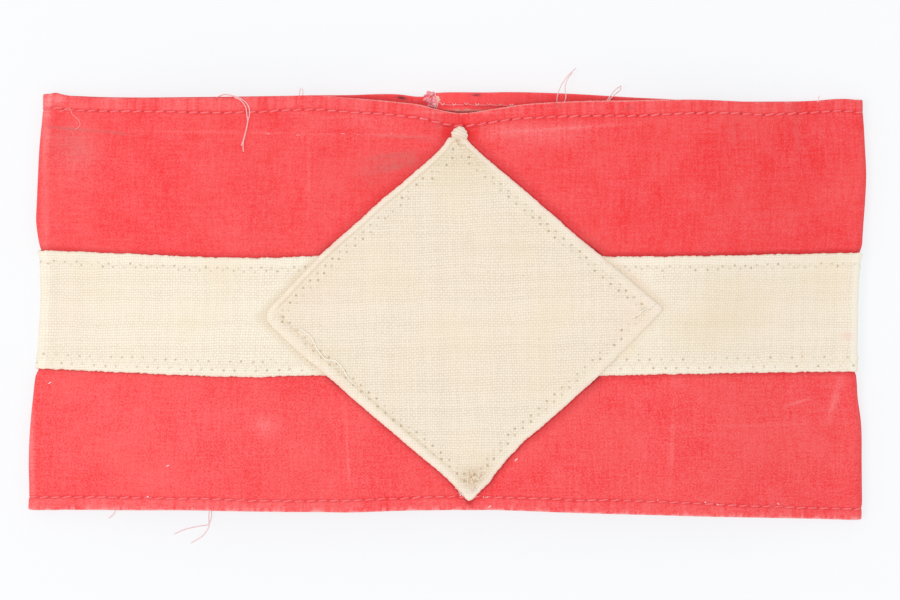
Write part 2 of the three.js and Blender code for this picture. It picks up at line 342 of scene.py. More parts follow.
def front_mid(x, y):
    """The height of the middle of the front cotton."""
    inside = np.minimum(x - fold_centre("left", y), fold_centre("right", y) - x)
    folded = back_mid(x, y) + 2 * FOLD_RADIUS
    shape = bumps(SWELLS, x, y) + 0.14 * noise(x, y, 11, 1) + 0.03 * noise(x, y, 4, 2)
    return mix(folded, CROWN, ramp(0, SHOULDER, inside)) + shape * ramp(0, 9, inside)


def along_band(u, y):
    """Where along the band a place round the tube is. Round the tube starts at the front's left."""
    u = np.mod(u, ROUND)
    t = np.where(u < HALF_ROUND, u / FLAT_RUN, 1 - (u - HALF_ROUND) / FLAT_RUN)
    return mix(fold_centre("left", y), fold_centre("right", y), np.clip(t, 0, 1))


def behind(u):
    """0 on the front run of the tube, 1 on its back run, and between them on the folds."""
    u = np.mod(u, ROUND)
    right_fold = np.clip((u - FLAT_RUN) / FOLD_RUN, 0, 1)
    return right_fold - np.clip((u - HALF_ROUND - FLAT_RUN) / FOLD_RUN, 0, 1)


def shows(u):
    """Whether a place round the tube is seen from the front."""
    return behind(u) < 0.6


def top_edge(u):
    """The upper hem's edge, with a step where the cloth's end lies over its start."""
    x = along_band(u, 50)
    back_x = np.where(u - SEAM_AT < STEP_NEAR, np.minimum(x, STEP_LEFT), x)
    back_x = np.where(u - SEAM_AT > ROUND - STEP_NEAR, np.maximum(back_x, STEP_RIGHT), back_x)
    return mix(EDGES.at("top", x), EDGES.at("back_top", back_x), behind(u))


def bottom_edge(u):
    return EDGES.at("bottom", along_band(u, -50)) + 0.3 * behind(u)


def stripe_sides(u):
    """The stripe's lower and upper edges."""
    return STRIPE.at("low", along_band(u, -16)), STRIPE.at("high", along_band(u, 12))


def xyz(*parts):
    """Numbers side by side in a last axis, as points have them."""
    return np.stack(np.broadcast_arrays(*parts), -1)


def wrap(u, y, lift):
    """The point at a place round the tube and a height across it, lifted off mid-cloth."""
    u, y, lift = np.broadcast_arrays(u, y, lift)
    middle, side = along_band(u, y), behind(u)
    angle = np.pi * (0.5 - side)
    outward = np.where(np.mod(u, ROUND) < HALF_ROUND, 1, -1)
    reach = FOLD_RADIUS + lift
    folded = back_mid(middle, y) + FOLD_RADIUS + reach * np.sin(angle)
    height = np.where(side > 0, folded, front_mid(middle, y) + lift)
    return xyz(middle + outward * reach * np.cos(angle), y, height)


def tuck(u, edge):
    """How far the cloth's end lies inside its start, which is thicker in the hems."""
    under = COTTON + AIR + HEM_LAYER * (1 - ramp(HEM_THINS, HEM_ENDS, edge))
    return under * ramp(SEAM_END - LAP - 8.0, SEAM_END - LAP - 0.3, u)


def stations(start, end):
    """Places round the tube, closer together on the front and behind its dip than elsewhere."""
    fine = np.arange(start, end, 0.05)
    side = behind(fine)
    in_dip = (side >= 1) & (np.abs(along_band(fine, 50) - 5) < 20)
    step = np.select([in_dip | (side <= 0), side >= 1], [FRONT_STEP, BACK_STEP], FOLD_STEP)
    count = np.cumsum(0.05 / step)
    return np.interp(np.linspace(count[0], count[-1], int(count[-1])), count, fine)


def between(a, b, count):
    """Evenly spaced lines between two others."""
    return [mix(a, b, t) for t in np.linspace(0, 1, count + 2)[1:-1]]


def with_rims(low, high, rim, middle):
    """Lines from a lower to an upper edge. The rim says how far in from both edges they start."""
    return [low + inset for inset in rim] + middle + [high - inset for inset in reversed(rim)]


def both_faces(outer, inner):
    """The lines of the outer face and then those of the inner, round the section of the cloth."""
    return [(True, y) for y in outer] + [(False, y) for y in reversed(inner)]


def add_object(name, data):
    obj = bpy.data.objects.new(name, data)
    bpy.context.scene.collection.objects.link(obj)
    return obj


def mesh_object(name, material, points, faces, **attributes):
    """A mesh. Each attribute has a number or a vector for every point."""
    points = np.reshape(points, (-1, 3)) * MM
    mesh = bpy.data.meshes.new(name)
    mesh.from_pydata(points.tolist(), [], faces)
    mesh.validate()
    for key, values in attributes.items():
        is_vector = np.size(values) == points.size
        layer = mesh.attributes.new(key, "FLOAT_VECTOR" if is_vector else "FLOAT", "POINT")
        layer.data.foreach_set("vector" if is_vector else "value", np.float32(values).ravel())
    mesh.polygons.foreach_set("use_smooth", [True] * len(mesh.polygons))
    mesh.materials.append(material)
    return add_object(name, mesh)


def tube_faces(length, sides, first=0):
    """The faces of a closed tube, whose points are rings from the first point on."""
    i, j = np.indices((length - 1, sides))
    place = lambda a, b: first + a * sides + b % sides
    quads = xyz(place(i, j), place(i + 1, j), place(i + 1, j + 1), place(i, j + 1))
    ring = np.arange(sides)
    ends = [place(0, ring).tolist(), place(length - 1, ring[::-1]).tolist()]
    return quads.reshape(-1, 4).tolist() + ends


def strip_object(name, material, rows):
    """A closed strip of cloth. The rows run along it, one after another round its section.

    Each row has its points and its attributes, for every place along the strip.
    """
    values = {key: np.stack([row[key] for row in rows], 1) for key in rows[0]}
    points = values.pop("point")
    return mesh_object(name, material, points, tube_faces(*points.shape[:2]), **values)


# Materials

class Value:
    """A number, vector or colour of a material. Arithmetic on it makes nodes."""

    def __init__(self, shader, socket):
        self.shader = shader
        self.socket = socket

    def math(self, operation, *others):
        return self.shader.node("ShaderNodeMath", {"operation": operation}, self, *others)[0]

    __add__ = lambda self, other: self.math("ADD", other)
    __sub__ = lambda self, other: self.math("SUBTRACT", other)
    __mul__ = lambda self, other: self.math("MULTIPLY", other)
    __truediv__ = lambda self, other: self.math("DIVIDE", other)
    __neg__ = lambda self: self.math("MULTIPLY", -1)
    __abs__ = lambda self: self.math("ABSOLUTE")
    max = lambda self, other: self.math("MAXIMUM", other)

    def remap(self, low, high, to_low=0.0, to_high=1.0):
        """Goes smoothly from one number to another while this goes from low to high."""
        smooth = {"interpolation_type": "SMOOTHSTEP"}
        return self.shader.node("ShaderNodeMapRange", smooth, self, low, high, to_low, to_high)[0]

    def fade(self, low, high, most=1.0):
        """Goes smoothly from the most to 0 while this goes from low to high."""
        return self.remap(low, high, most, 0.0)

    def speck(self):
        """A random number for each number."""
        return self.shader.node("ShaderNodeTexWhiteNoise", {"noise_dimensions": "1D"}, W=self)[0]

    def split(self):
        return self.shader.node("ShaderNodeSeparateXYZ", {}, self)

    def under(self, *layers):
        """This colour with others laid over it. Each layer is its colour, and how much it covers."""
        color = self
        for tint, amount in layers:
            color = self.shader.blend(amount, color, tint)
        return color


class Shader:
    """A material that is made of nodes."""

    def __init__(self, name):
        self.material = bpy.data.materials.new(name)
        self.material.use_nodes = True
        self.tree = self.material.node_tree
        self.tree.nodes.clear()

    def put(self, socket, value):
        if isinstance(value, Value):
            self.tree.links.new(value.socket, socket)
        else:
            socket.default_value = (*value, 1.0) if socket.type == "RGBA" else value

    def node(self, kind, settings, *inputs, **named):
        """The outputs of a new node, whose inputs are given in order or by name."""
        made = self.tree.nodes.new(kind)
        for key, value in settings.items():
            setattr(made, key, value)
        for number, value in enumerate(inputs):
            self.put(made.inputs[number], value)
        for key, value in named.items():
            self.put(made.inputs[key.replace("_", " ")], value)
        return [Value(self, socket) for socket in made.outputs]

    def vector(self, name):
        return self.node("ShaderNodeAttribute", {"attribute_name": name})[1]

    def number(self, name):
        return self.node("ShaderNodeAttribute", {"attribute_name": name})[2]

    def noise(self, place, detail, scale=1.0, roughness=0.5):
        """Cloudy noise. The place is a vector, or its first two or three numbers."""
        if isinstance(place, tuple):
            place = self.node("ShaderNodeCombineXYZ", {}, *place)[0]
        settings = {"Scale": scale, "Detail": detail, "Roughness": roughness}
        return self.node("ShaderNodeTexNoise", {}, Vector=place, **settings)[0]

    def blend(self, factor, a, b):
        made = self.tree.nodes.new("ShaderNodeMix")
        made.data_type = "RGBA"
        for number, value in ((0, factor), (6, a), (7, b)):
            self.put(made.inputs[number], value)
        return Value(self, made.outputs[2])

    def surface(self, **inputs):
        """Ends the material in a surface with these inputs."""
        made = self.node("ShaderNodeBsdfPrincipled", {}, **inputs)[0]
        self.node("ShaderNodeOutputMaterial", {}, Surface=made)
        return self.material

    def cloth(self, color, height, relief, sheen=0.05, specular=0.15):
        """Ends the material in rough cloth. Its height makes a relief, in metres for each unit."""
        bump = self.node("ShaderNodeBump", {}, Strength=1.0, Distance=relief, Height=height)[0]
        return self.surface(
            Base_Color=color,
            Normal=bump,
            Roughness=0.9,
            Specular_IOR_Level=specular,
            Sheen_Weight=sheen,
            Sheen_Roughness=0.5,
        )


def weave(u, v, pitch_u, pitch_v):
    """Plain weave: the height of the threads, and a number for each upright and level thread."""
    across, along = u / pitch_u, v / pitch_v
    upright_id, level_id = across.math("FLOOR"), along.math("FLOOR")
    round_of = lambda place: abs((place * math.pi).math("SINE"))
    over_under = lambda place, thread: ((place + thread) * math.pi).math("COSINE")
    upright = round_of(across) * over_under(along + 0.5, upright_id).remap(-1, 1, 0.1, 0.64)
    level = round_of(along) * over_under(across + 1.5, level_id).remap(-1, 1, 0.12, 1)
    return upright.max(level), upright_id, level_id


def holes(run, beside, pitch, size, seed, spread=0.25, long=1.0):
    """1 in the needle holes of a row, which lie about a pitch apart and differ in strength."""
    number = (run / pitch).math("ROUND")
    shift = (number + seed).speck() * (2 * spread) - spread
    along = (run - number * pitch - shift) / (size * long)
    off = (beside + shift * 0.6) / size
    strength = (number + (seed + 0.5)).speck() * 0.8 + 0.2
    return (along * along + off * off).fade(0.15, 1.3) * strength


def spots(s, place, rows):
    """The sum of a table of soft spots and lines, at places on the front."""
    total = None
    for x, y, long, wide, turn, amount in rows:
        c, n = heading(turn)
        squares = []
        for reach, dx, dy in ((long, c, n), (wide, -n, c)):
            way = (dx / reach, dy / reach, 0)
            dot = s.node("ShaderNodeVectorMath", {"operation": "DOT_PRODUCT"}, place, way)[1]
            off = dot - (x * dx + y * dy) / reach
            squares.append(off * off)
        spot = (-(squares[0] + squares[1])).math("EXPONENT") * amount
        total = spot if total is None else total + spot
    return total


def cotton_material():
    """Red cotton, with its wear and grime, painted shade in its folds, along its stitches and beside the
    stripe and the diamond, and painted light on its edges, hems and inside.
    """
    s = Shader("red_cotton")
    cloth, place, edge = s.vector("cloth"), s.vector("place"), s.number("edge")
    u, v, _ = cloth.split()
    sideways, high, _ = place.split()
    run, from_top, from_bottom = s.vector("rows").split()
    by_stripe, by_patch, raw_hem = s.vector("beside").split()

    # How light the dye is: its threads, clouds and grain, and the ribs across the hems.
    cloud = s.noise(cloth, 3, 0.05)
    grain = s.noise(cloth, 4, 0.7, 0.8)
    fine = s.noise(cloth, 2, 2.4, 0.7)
    down = s.noise((u * 1.5, v * 0.13), 3) * sideways.remap(-60, 40, 0.9, 1.1)
    along = s.noise((u * 0.13, v * 1.9), 3)
    mottle = s.noise(cloth, 1, 0.13)
    ribs = s.noise((u * 0.75, 3.3), 2)
    value = grain * 0.28 + (down * 0.16 + along * 0.14)
    for part, amount in ((cloud, 0.1), (mottle, 0.13), (ribs, edge.fade(2.6, 4.4, 0.28))):
        value = value + (part - 0.5) * amount
    value = value + ((fine - 0.5) * high.remap(-22, 22, 0.6, 0.42) + 0.22)
    # The tone is painted light and shade: lighter towards the lamp at the lower left, darker at the upper
    # right, in the dip and beside the diamond's top corner.
    value = value + s.number("tone")

    # Wear, on the edges, in the hems and in lines. The lighter hems are also painted light that lifts
    # their sloping puff, and the worn spots include a painted highlight on the edge at the dip.
    patchy = s.noise((u * 0.3, 9.1), 3).remap(0.4, 0.62, 0.15, 1.0)
    worn_edge = edge.fade(0.0, 0.8) * (patchy * high.remap(-20, 20, 1.0, 0.55))
    in_hem = edge.fade(2.4, 3.4, 0.14) * sideways.remap(-90, 60, 1.2, 0.4)
    wear_and_light = (s.number("wear") + spots(s, place, WORN_LINES)).max(worn_edge.max(in_hem))
    grime = s.number("grime") + spots(s, place, GRIME_LINES)

    # The shade beside the stripe and the diamond, and in the pulled folds.
    to_right, to_top = sideways.remap(-5, 12), high.remap(-12, 8)
    soft = to_top * 0.3 + (to_right * 0.25 + 0.12)
    shade = by_stripe.fade(0.0, 0.5, 0.6).max(by_stripe.fade(0.1, 1.5) * soft)
    near = by_patch.fade(0.1, 0.95) * (to_right * 0.3 + (to_top * -0.08 + 0.7))
    spread = by_patch * (sideways + high).remap(-30, 5, 1.0, 0.6)
    far = spread.fade(0.0, 1.9) * (to_right * 0.14 + (to_top * -0.05 + 0.4))
    shade = shade.max(near.max(far)).max(spots(s, place, CREASE_SHADE))

    # Pale worn threads and a painted highlight on the very edge, and the pits between the stitches.
    at_dip = sideways.remap(-32, -14) * sideways.fade(50, 62)
    fuzzy = high.remap(0, 20) * fine.remap(0.35, 0.6, 0.2, 0.75)
    at_bottom = high.fade(-20, 0, 0.5)
    pale = (at_dip * fuzzy).max(patchy * at_bottom)
    streaks = s.noise((u * 0.9, 5.7), 3).remap(0.48, 0.66) * edge.fade(0.1, 1.6)
    halfway = run + STITCH_PITCH / 2
    pits = lambda beside, seed: holes(halfway, beside, STITCH_PITCH, PIT, seed, spread=0.1, long=1.3)
    pit = pits(from_top, 3.0).max(pits(from_bottom, 7.0) * 0.5)

    color = s.blend(value.remap(0.3, 0.7), (0.84, 0.025, 0.03), (0.91, 0.14, 0.147)).under(
        # colour, how much it covers
        ((0.88, 0.12, 0.105), cloud.remap(0.4, 0.7, 0, 0.2)),
        ((0.95, 0.34, 0.34), wear_and_light * value.remap(0.3, 0.65, 0.25, 0.95)),
        ((0.4, 0.17, 0.16), grime * value.remap(0.35, 0.6, 0.35, 0.8)),
        # painted light: the tube's inside face is a brighter red, against the shade it lies in
        ((0.97, 0.085, 0.095), v.remap(INNER_CLOTH - 100, INNER_CLOTH - 99, 0.0, 0.5)),
        ((0.12, 0.04, 0.045), s.number("mark")),
        ((0.52, 0.03, 0.034), shade),
        ((0.62, 0.52, 0.44), raw_hem * grain.remap(0.4, 0.6, 0.3, 1.0)),
        # painted highlight with pale worn threads on the rolled edge
        ((0.96, 0.56, 0.5), edge.fade(0.02, 0.34) * pale),
        ((0.96, 0.38, 0.38), streaks * at_bottom),
        # painted shade in the ditches along the hem stitches, and in the pits between them
        ((0.7, 0.03, 0.035), abs(from_top).fade(0.2, 0.65, 0.35)),
        ((0.7, 0.03, 0.035), abs(from_bottom).fade(0.2, 0.65, 0.38)),
        ((0.36, 0.012, 0.02), pit * 0.5),
    )
    threads, _, _ = weave(u, v, *COTTON_WEAVE)
    height = threads * 0.3 + (grain * 1.2 + down * 0.4) - pit
    return s.cloth(color, height, relief=0.00008, sheen=0.06, specular=0.1)


def canvas_material(name, base, shade, rows):
    """Natural canvas, with painted shade beside the diamond and in its creases and folds, and painted
    light on its rims. The rows are its needle holes.
    """
    s = Shader(name)
    cloth = s.vector("cloth")
    u, v, _ = cloth.split()
    bend_u = u + s.noise(cloth, 1, 0.11) * 1.5
    bend_v = v + s.noise((v, u, 7.0), 1, 0.11) * 1.2
    threads, upright, level = weave(bend_u, bend_v, *CANVAS_WEAVE)
    uneven = upright.speck() + (level + 0.37).speck() * 1.4
    slub = s.noise((bend_u * 0.3, bend_v * 1.7), 2) + s.noise((bend_u * 1.9, bend_v * 0.3), 2)
    fuzz = s.noise(cloth, 3, 1.9, 0.7)
    body = threads * 0.9 + (slub + uneven * 0.3) * 0.3 + fuzz * 0.55 + s.number("turned") * 0.1
    pit = None
    for hole in rows(s):
        pit = hole if pit is None else pit.max(hole)
    color = s.blend(body.remap(0.57, 1.45), shade, base).under(
        # colour, how much it covers
        ((0.87, 0.72, 0.53), s.noise(cloth, 3, 0.06).remap(0.42, 0.75, 0, 0.35)),
        ((0.72, 0.57, 0.33), s.number("yellow") * 0.5),
        # grime; on the diamond also painted shade in the folds below its top corner
        ((0.52, 0.33, 0.19), s.number("grime") * (fuzz.remap(0.4, 0.62, 0.2, 1.7) * 0.75)),
        # pink tints; on the stripe also a painted shadow beside the diamond's upper right side
        ((0.86, 0.6, 0.5), s.number("pink") * 0.5),
        # painted shade: on the stripe beside the diamond's edges, on the diamond in the creases of its
        # turned left edges
        ((0.63, 0.47, 0.31), s.number("line") * 0.8),
        # painted light on the rims and folded ends that turn away from the lamp
        ((0.99, 0.92, 0.79), s.number("rim")),
        ((0.4, 0.3, 0.17), s.noise(cloth, 1, 0.9).remap(0.77, 0.81, 0, 0.6)),
        ((0.42, 0.28, 0.15), pit * 0.68),
    )
    return s.cloth(color, threads + fuzz * 0.5 - pit * 1.5, relief=0.00007)


def stripe_holes(s):
    """The needle holes of the zigzag rows along the stripe's upper and lower edges."""
    run, from_top, from_bottom = s.vector("rows").split()
    for beside, insets, seed in ((from_top, UPPER_ROWS, 11.0), (from_bottom, LOWER_ROWS, 17.0)):
        for row, inset in enumerate(insets):
            place = run + row * STRIPE_PITCH / 2
            yield holes(place, beside - inset, STRIPE_PITCH, HOLE, seed + 2 * row)


def patch_holes(s):
    """The needle holes of the zigzag rows along the diamond's sides, which stop where they meet."""
    along_a, along_b, _ = s.vector("rows").split()
    for run, across, seed in ((along_b, along_a, 23.0), (along_a, along_b, 29.0)):
        edge = -abs(across) + PATCH_SIDE / 2
        past_end = abs(run).remap(PATCH_SIDE / 2 - PATCH_ROWS[0], PATCH_SIDE / 2 - 2.2, 0, 9)
        for row, inset in enumerate(PATCH_ROWS):
            place = run + row * PATCH_PITCH / 2 + across.math("SIGN")
            yield holes(place, edge - inset + past_end, PATCH_PITCH, HOLE, seed + 3 * row)


def thread_material(name, color, twist=0.4):
    """Twisted thread. The twist is how far along it one turn takes."""
    s = Shader(name)
    u, v, _ = s.vector("cloth").split()
    turn = ((u / twist + v) * (2 * math.pi)).math("SINE")
    dark = tuple(0.86 * c for c in color)
    return s.cloth(s.blend(turn.remap(-1, 1), dark, color), turn, relief=0.000006)


# Thin lines on the front: worn creases, and grime.
WORN_LINES = (
    # x, y, long, wide, turn, amount
    (-55, 41.9, 34, 0.35, -1.0, 0.14),
    (-12, 41.1, 8, 0.35, -3, 0.2),
    (22, 42.4, 10, 0.45, 4, 0.3),
    (37, 43.5, 10, 0.5, 4, 0.25),
    (72, -28.9, 17, 0.4, 1, 0.12),
    (66, -31.2, 14, 0.35, -1, 0.08),
    (93.8, -22.4, 5, 0.9, 73, 0.4),
    (84.6, -23.3, 3.2, 0.35, 16, 0.4),
    (54.1, -32, 0.5, 10, -2, 0.22),
    (-24.1, -36, 0.35, 7, 4, 0.3),
    (-33.5, 33, 0.4, 8, 0, 0.2),
    (-97.6, 25, 0.9, 22, 1, 0.25),
    (-101.0, -33, 0.7, 17, 1, 0.5),
)
GRIME_LINES = (
    (-95.2, 49.5, 0.3, 1.8, 4, 0.2),
    (-92, 42.95, 6, 0.28, -6, 0.6),
    (-82, 42.1, 5, 0.25, -6, 0.4),
    (-79.5, 41.7, 2, 0.3, -12, 0.35),
    (26.5, 48.2, 1.0, 0.35, 0, 0.5),
    (43.7, 47.7, 1.1, 0.4, 20, 0.55),
    (-14.5, 36.2, 5, 0.5, 8, 0.35),
    (-12, 33.6, 5, 0.6, 10, 0.3),
    (-9, 40.6, 7, 0.5, -3, 0.3),
)
# Painted shade in the pulled folds on both sides of the diamond's top corner.
CREASE_SHADE = (
    (0.1, 43.2, 1.4, 0.25, -13, 0.8),
    (5.8, 43.15, 2.0, 0.2, 3, 0.5),
)

COTTON_LOOK = cotton_material()
STRIPE_LOOK = canvas_material(
    "stripe_canvas", base=(0.918, 0.848, 0.719), shade=(0.716, 0.613, 0.461), rows=stripe_holes
)
PATCH_LOOK = canvas_material(
    "patch_canvas", base=(0.895, 0.807, 0.676), shade=(0.688, 0.577, 0.432), rows=patch_holes
)
RED_THREAD = thread_material("red_thread", (0.965, 0.21, 0.225))
ROSE_THREAD = thread_material("rose_thread", (0.965, 0.19, 0.205))
FRAYED_CLOTH = thread_material("frayed_cloth", (0.99, 0.34, 0.4))
RAW_EDGE = thread_material("raw_edge", (0.92, 0.58, 0.46))
PINK_THREAD = thread_material("pink_thread", (0.98, 0.5, 0.5))
FADED_THREAD = thread_material("faded_thread", (0.99, 0.7, 0.7))
CREAM_THREAD = thread_material("cream_thread", (0.985, 0.92, 0.8))
SEWING_THREAD = thread_material("sewing_thread", (0.93, 0.86, 0.71))
WHITE_FIBRE = thread_material("white_fibre", (0.96, 0.8, 0.77))
WHIPPING = thread_material("whipping", (0.88, 0.75, 0.62), twist=WHIPPING_PITCH)


# The canvas diamond's plan

CORNERS = {
    "top": np.array([3.0, 42.5]),
    "right": np.array([52.4, -0.65]),
    "bottom": np.array([5.2, -47.5]),
    "left": np.array([-44.9, -2.5]),
}
# How far each side bows out, from its first corner (0) to its second (1).
BOWS = {
    ("top", "left"): Table(
        "t out",
        (0, 0), (0.03, 0.05), (0.055, 0.5), (0.08, 0.05), (0.12, -0.15), (0.165, -0.15), (0.21, 0.02),
        (0.3, 0.25), (0.39, 0.65), (0.5, 0.72), (0.57, 0.88), (0.61, 1.0), (0.78, 0.8),
        (0.87, 0.42), (1, 0),
    ),
    ("top", "right"): Table(
        "t out",
        (0, 0), (0.03, -0.5), (0.065, -0.85), (0.105, -1.0), (0.19, -0.98), (0.24, -0.87), (0.33, -0.76),
        (0.42, -0.8), (0.47, -0.7), (0.55, -0.85), (0.65, -0.62), (0.8, -0.35), (0.9, -0.24), (1, 0),
    ),
    ("right", "bottom"): Table(
        "t out",
        (0, 0), (0.2, 0.15), (0.39, 0.1), (0.43, -0.1), (0.5, -0.25), (0.57, -0.55), (0.66, -1.0),
        (0.7, -1.3), (0.74, -1.1), (0.78, -1.12), (0.82, -0.87), (0.86, -0.6), (0.89, -0.15),
        (0.93, -0.2), (1, 0),
    ),
    ("left", "bottom"): Table(
        "t out",
        (0, 0), (0.1, 0.3), (0.2, 0.4), (0.3, 0.15), (0.36, 0.02), (0.45, 0.02), (0.58, -0.18),
        (0.715, -0.45), (0.78, -0.6), (0.85, -0.82), (0.93, -0.54), (1, 0),
    ),
}
CENTRE = sum(CORNERS.values()) / 4
# The radius of its corners, and of the left one, and the points along each side of its grid.
PATCH_ROUNDING = 1.25
LEFT_ROUNDING = 2.8
PATCH_GRID = 141


def side_frame(start, end):
    """A side's first corner, its way along and its way out, all of the side's length."""
    a, b = CORNERS[start], CORNERS[end]
    out = np.array([b[1] - a[1], a[0] - b[0]])
    return a, b - a, out if np.dot(out, a - CENTRE) > 0 else -out


def side_point(start, end, t):
    """A point of the diamond's outline, between two corners."""
    a, way, out = side_frame(start, end)
    bow = BOWS[start, end].at("out", t) / np.linalg.norm(way)
    return a + way * t[..., None] + bow[..., None] * out


def beside_patch(x, y):
    """How far a point lies outside the diamond, and less than 0 on it."""
    most = np.full(np.broadcast(x, y).shape, -100.0)
    for start, end in BOWS:
        a, way, out = side_frame(start, end)
        long = np.linalg.norm(way)
        along = ((x - a[0]) * way[0] + (y - a[1]) * way[1]) / long**2
        off = ((x - a[0]) * out[0] + (y - a[1]) * out[1]) / long
        most = np.maximum(most, off - BOWS[start, end].at("out", along))
    return most


# The red cotton tube

WEAR_SPOTS = (
    # x, y, long, wide, turn, amount
    (12, 42.2, 6, 2.0, 0, 0.35),
    (24, 41.5, 12, 2.5, 3, 0.3),
    (-94.5, 50.2, 2.5, 1.6, 0, 0.7),
    (-97.2, 49, 1.3, 3.5, 0, 0.8),
    (-97.4, 42, 1.0, 6, 0, 0.4),
    (-90, 35, 6, 7, 0, 0.25),
    (-44, -29, 3, 2, 0, 0.35),
    (-20, 45, 14, 2.5, -4, 0.15),
    # painted highlight, with worn threads, on the rolled edge at the dip
    (3, 46.7, 11, 0.4, 0, 0.7),
)
GRIME_SPOTS = (
    (-91, 38.5, 6, 4, -30, 0.24),
    (-14, 34, 6, 2.4, 10, 0.35),
    (-9, 35.6, 3, 1.4, 0, 0.3),
    (-18, 30, 4, 3, 0, 0.15),
    (-1.5, 43.5, 2.5, 1.2, -20, 0.3),
    (8, 43.5, 2.5, 1.5, 20, 0.15),
    (16, -24, 1.5, 1, 30, 0.3),
    (83.9, 48, 1.6, 1.5, 0, 0.2),
    (69, 42, 2.2, 4, 0, 0.12),
    (84.6, 43, 1, 6, 0, 0.15),
)
# Where the front's red is painted lighter and where deeper. The first two rows are painted light, lighter
# towards the lower left where the lamp is and darker towards the upper right.
# The third and the last two rows are painted shade in the dip and beside the diamond's top corner.
TONE_LIGHT_AND_SHADE = (
    # x, y, long, wide, turn, amount
    (-70, -30, 50, 25, 0, 0.05),
    (70, 30, 50, 25, 0, -0.05),
    (3, 44.5, 13, 4, 0, -0.06),
    (-10, 25, 10, 14, 40, -0.06),
    (0.2, 41.8, 1.8, 1.6, 0, -0.12),
    (5.8, 41.6, 2, 2, 0, -0.1),
)
# Dark marks inside the back hem, behind the dip of the front.
INNER_MARKS = (
    (-11.15, 50.4, 1.1, 0.33, -12, 1.1),
    (6.9, 50.95, 0.95, 0.25, 0, 0.95),
)


def hem_stitch_line(u, which):
    """Where across the tube a hem's stitches run, and how the sewing wanders."""
    if which == "top":
        return top_edge(u) - HEMS.at("top", along_band(u, 50)) + 0.12 * noise(u, 0, 6, 11)
    return bottom_edge(u) + HEMS.at("bottom", along_band(u, -50)) + 0.12 * noise(u, 0, 6, 12)


# How far in from the tube's edges the lines of its hems lie, on its outer and its inner face.
OUTER_RIM = (0, 0.03, 0.1, 0.2, 0.34, 0.65, 1.05, 1.45, 1.85, 2.25, 2.6, 2.9, 3.2, 3.5, 3.8, 4.2, 4.7)
INNER_RIM = (0.08, 0.3, 0.7, 1.0, 1.3, 1.7, 2.2, 2.8, 3.4, 3.9, 4.3, 4.6, 4.9, BODY_FROM)
# The raw edge that shows inside the upper hem: how far in it lies, and where along the band.
RAW_EDGE_IN = 4.45
RAW_EDGE_X = 4.7


def across_band(u, rim, under, beneath, over):
    """Heights across the tube from its lower to its upper edge, for each place round it.

    The counts are those under the stripe's lower edge, beneath the stripe, and over its upper edge.
    """
    low, high = bottom_edge(u), top_edge(u)
    stripe_low, stripe_high = stripe_sides(u)
    body = between(low + BODY_FROM, stripe_low, under)
    body += [mix(stripe_low, stripe_high, t) for t in np.linspace(0, 1, beneath)]
    return with_rims(low, high, rim, body + between(stripe_high, high - BODY_FROM, over))


def rim_round(edge, radius):
    """How far a rounded rim has risen towards its full height, at a distance from its edge."""
    t = np.clip(1 - edge / radius, 0, 1)
    return np.sqrt(1 - t * t)


def cotton_lift(u, edge, from_row):
    """How far the outer face stands off mid-cloth: the rolled edge, and the hem's puckers."""
    at_fold = 4 * behind(u) * (1 - behind(u))
    rolled = HALF - HALF_RIM * (1 - rim_round(edge, RIM)) * (1 - 0.7 * at_fold)
    in_hem = (1 - ramp(2.8, HEM_THINS, edge)) * (1 - 0.8 * at_fold)
    puff = 0.14 * in_hem * ramp(0, 1.2, from_row) - 0.14 * bell(from_row, 0.45)
    rib = 0.07 * np.cos(2 * np.pi * u / STITCH_PITCH) * bell(from_row, 2.0)
    return rolled + (puff + rib) * ramp(0, 0.7, edge)


def band_mesh():
    u = stations(SEAM_AT, SEAM_END)
    low, high = bottom_edge(u), top_edge(u)
    outer = across_band(u, OUTER_RIM, under=30, beneath=8, over=34)
    inner = across_band(u, INNER_RIM, under=9, beneath=5, over=9)
    rows = []
    for outside, y in both_faces(outer, inner):
        edge = np.minimum(y - low, high - y)
        from_top, from_bottom = y - hem_stitch_line(u, "top"), y - hem_stitch_line(u, "bottom")
        if outside:
            lift = cotton_lift(u, edge, np.minimum(np.abs(from_top), np.abs(from_bottom)))
        else:
            lift = HALF - HALF_RIM - HALF_RIM * rim_round(edge, RIM)
            lift += HEM_LAYER * ramp(HEM_THINS, HEM_ENDS, edge)
        point = wrap(u, y, lift - tuck(u, edge))
        x = point[:, 0]
        front = shows(u) & outside
        inside = (behind(u) > 0.5) & (not outside)
        raw_hem = bell(edge - RAW_EDGE_IN, 0.3) * bell(x - RAW_EDGE_X, 5) * inside
        in_front = lambda value, elsewhere=0: np.where(front, value, elsewhere)
        rows.append({
            "point": point,
            "cloth": xyz(u, y if outside else y + INNER_CLOTH, 0),
            "rows": xyz(u, from_top, from_bottom),
            "place": np.where(front[:, None], point, FAR),
            "beside": xyz(in_front(beside_stripe(x, y), FAR), in_front(beside_patch(x, y), FAR), raw_hem),
            "edge": edge,
            "wear": in_front(bumps(WEAR_SPOTS, x, y)),
            "grime": in_front(bumps(GRIME_SPOTS, x, y)),
            "tone": in_front(bumps(TONE_LIGHT_AND_SHADE, x, y), -0.04 * inside),
            "mark": inside * bumps(INNER_MARKS, x, y),
        })
    return strip_object("cotton_band", COTTON_LOOK, rows)


# The canvas stripe

STRIPE_YELLOW = (
    (67, -1, 9, 9, 20, 0.5),
    (58, -6, 8, 5, 0, 0.35),
    (86, 3, 9, 8, 0, 0.2),
    (-80, 0, 22, 12, 0, 0.16),
)
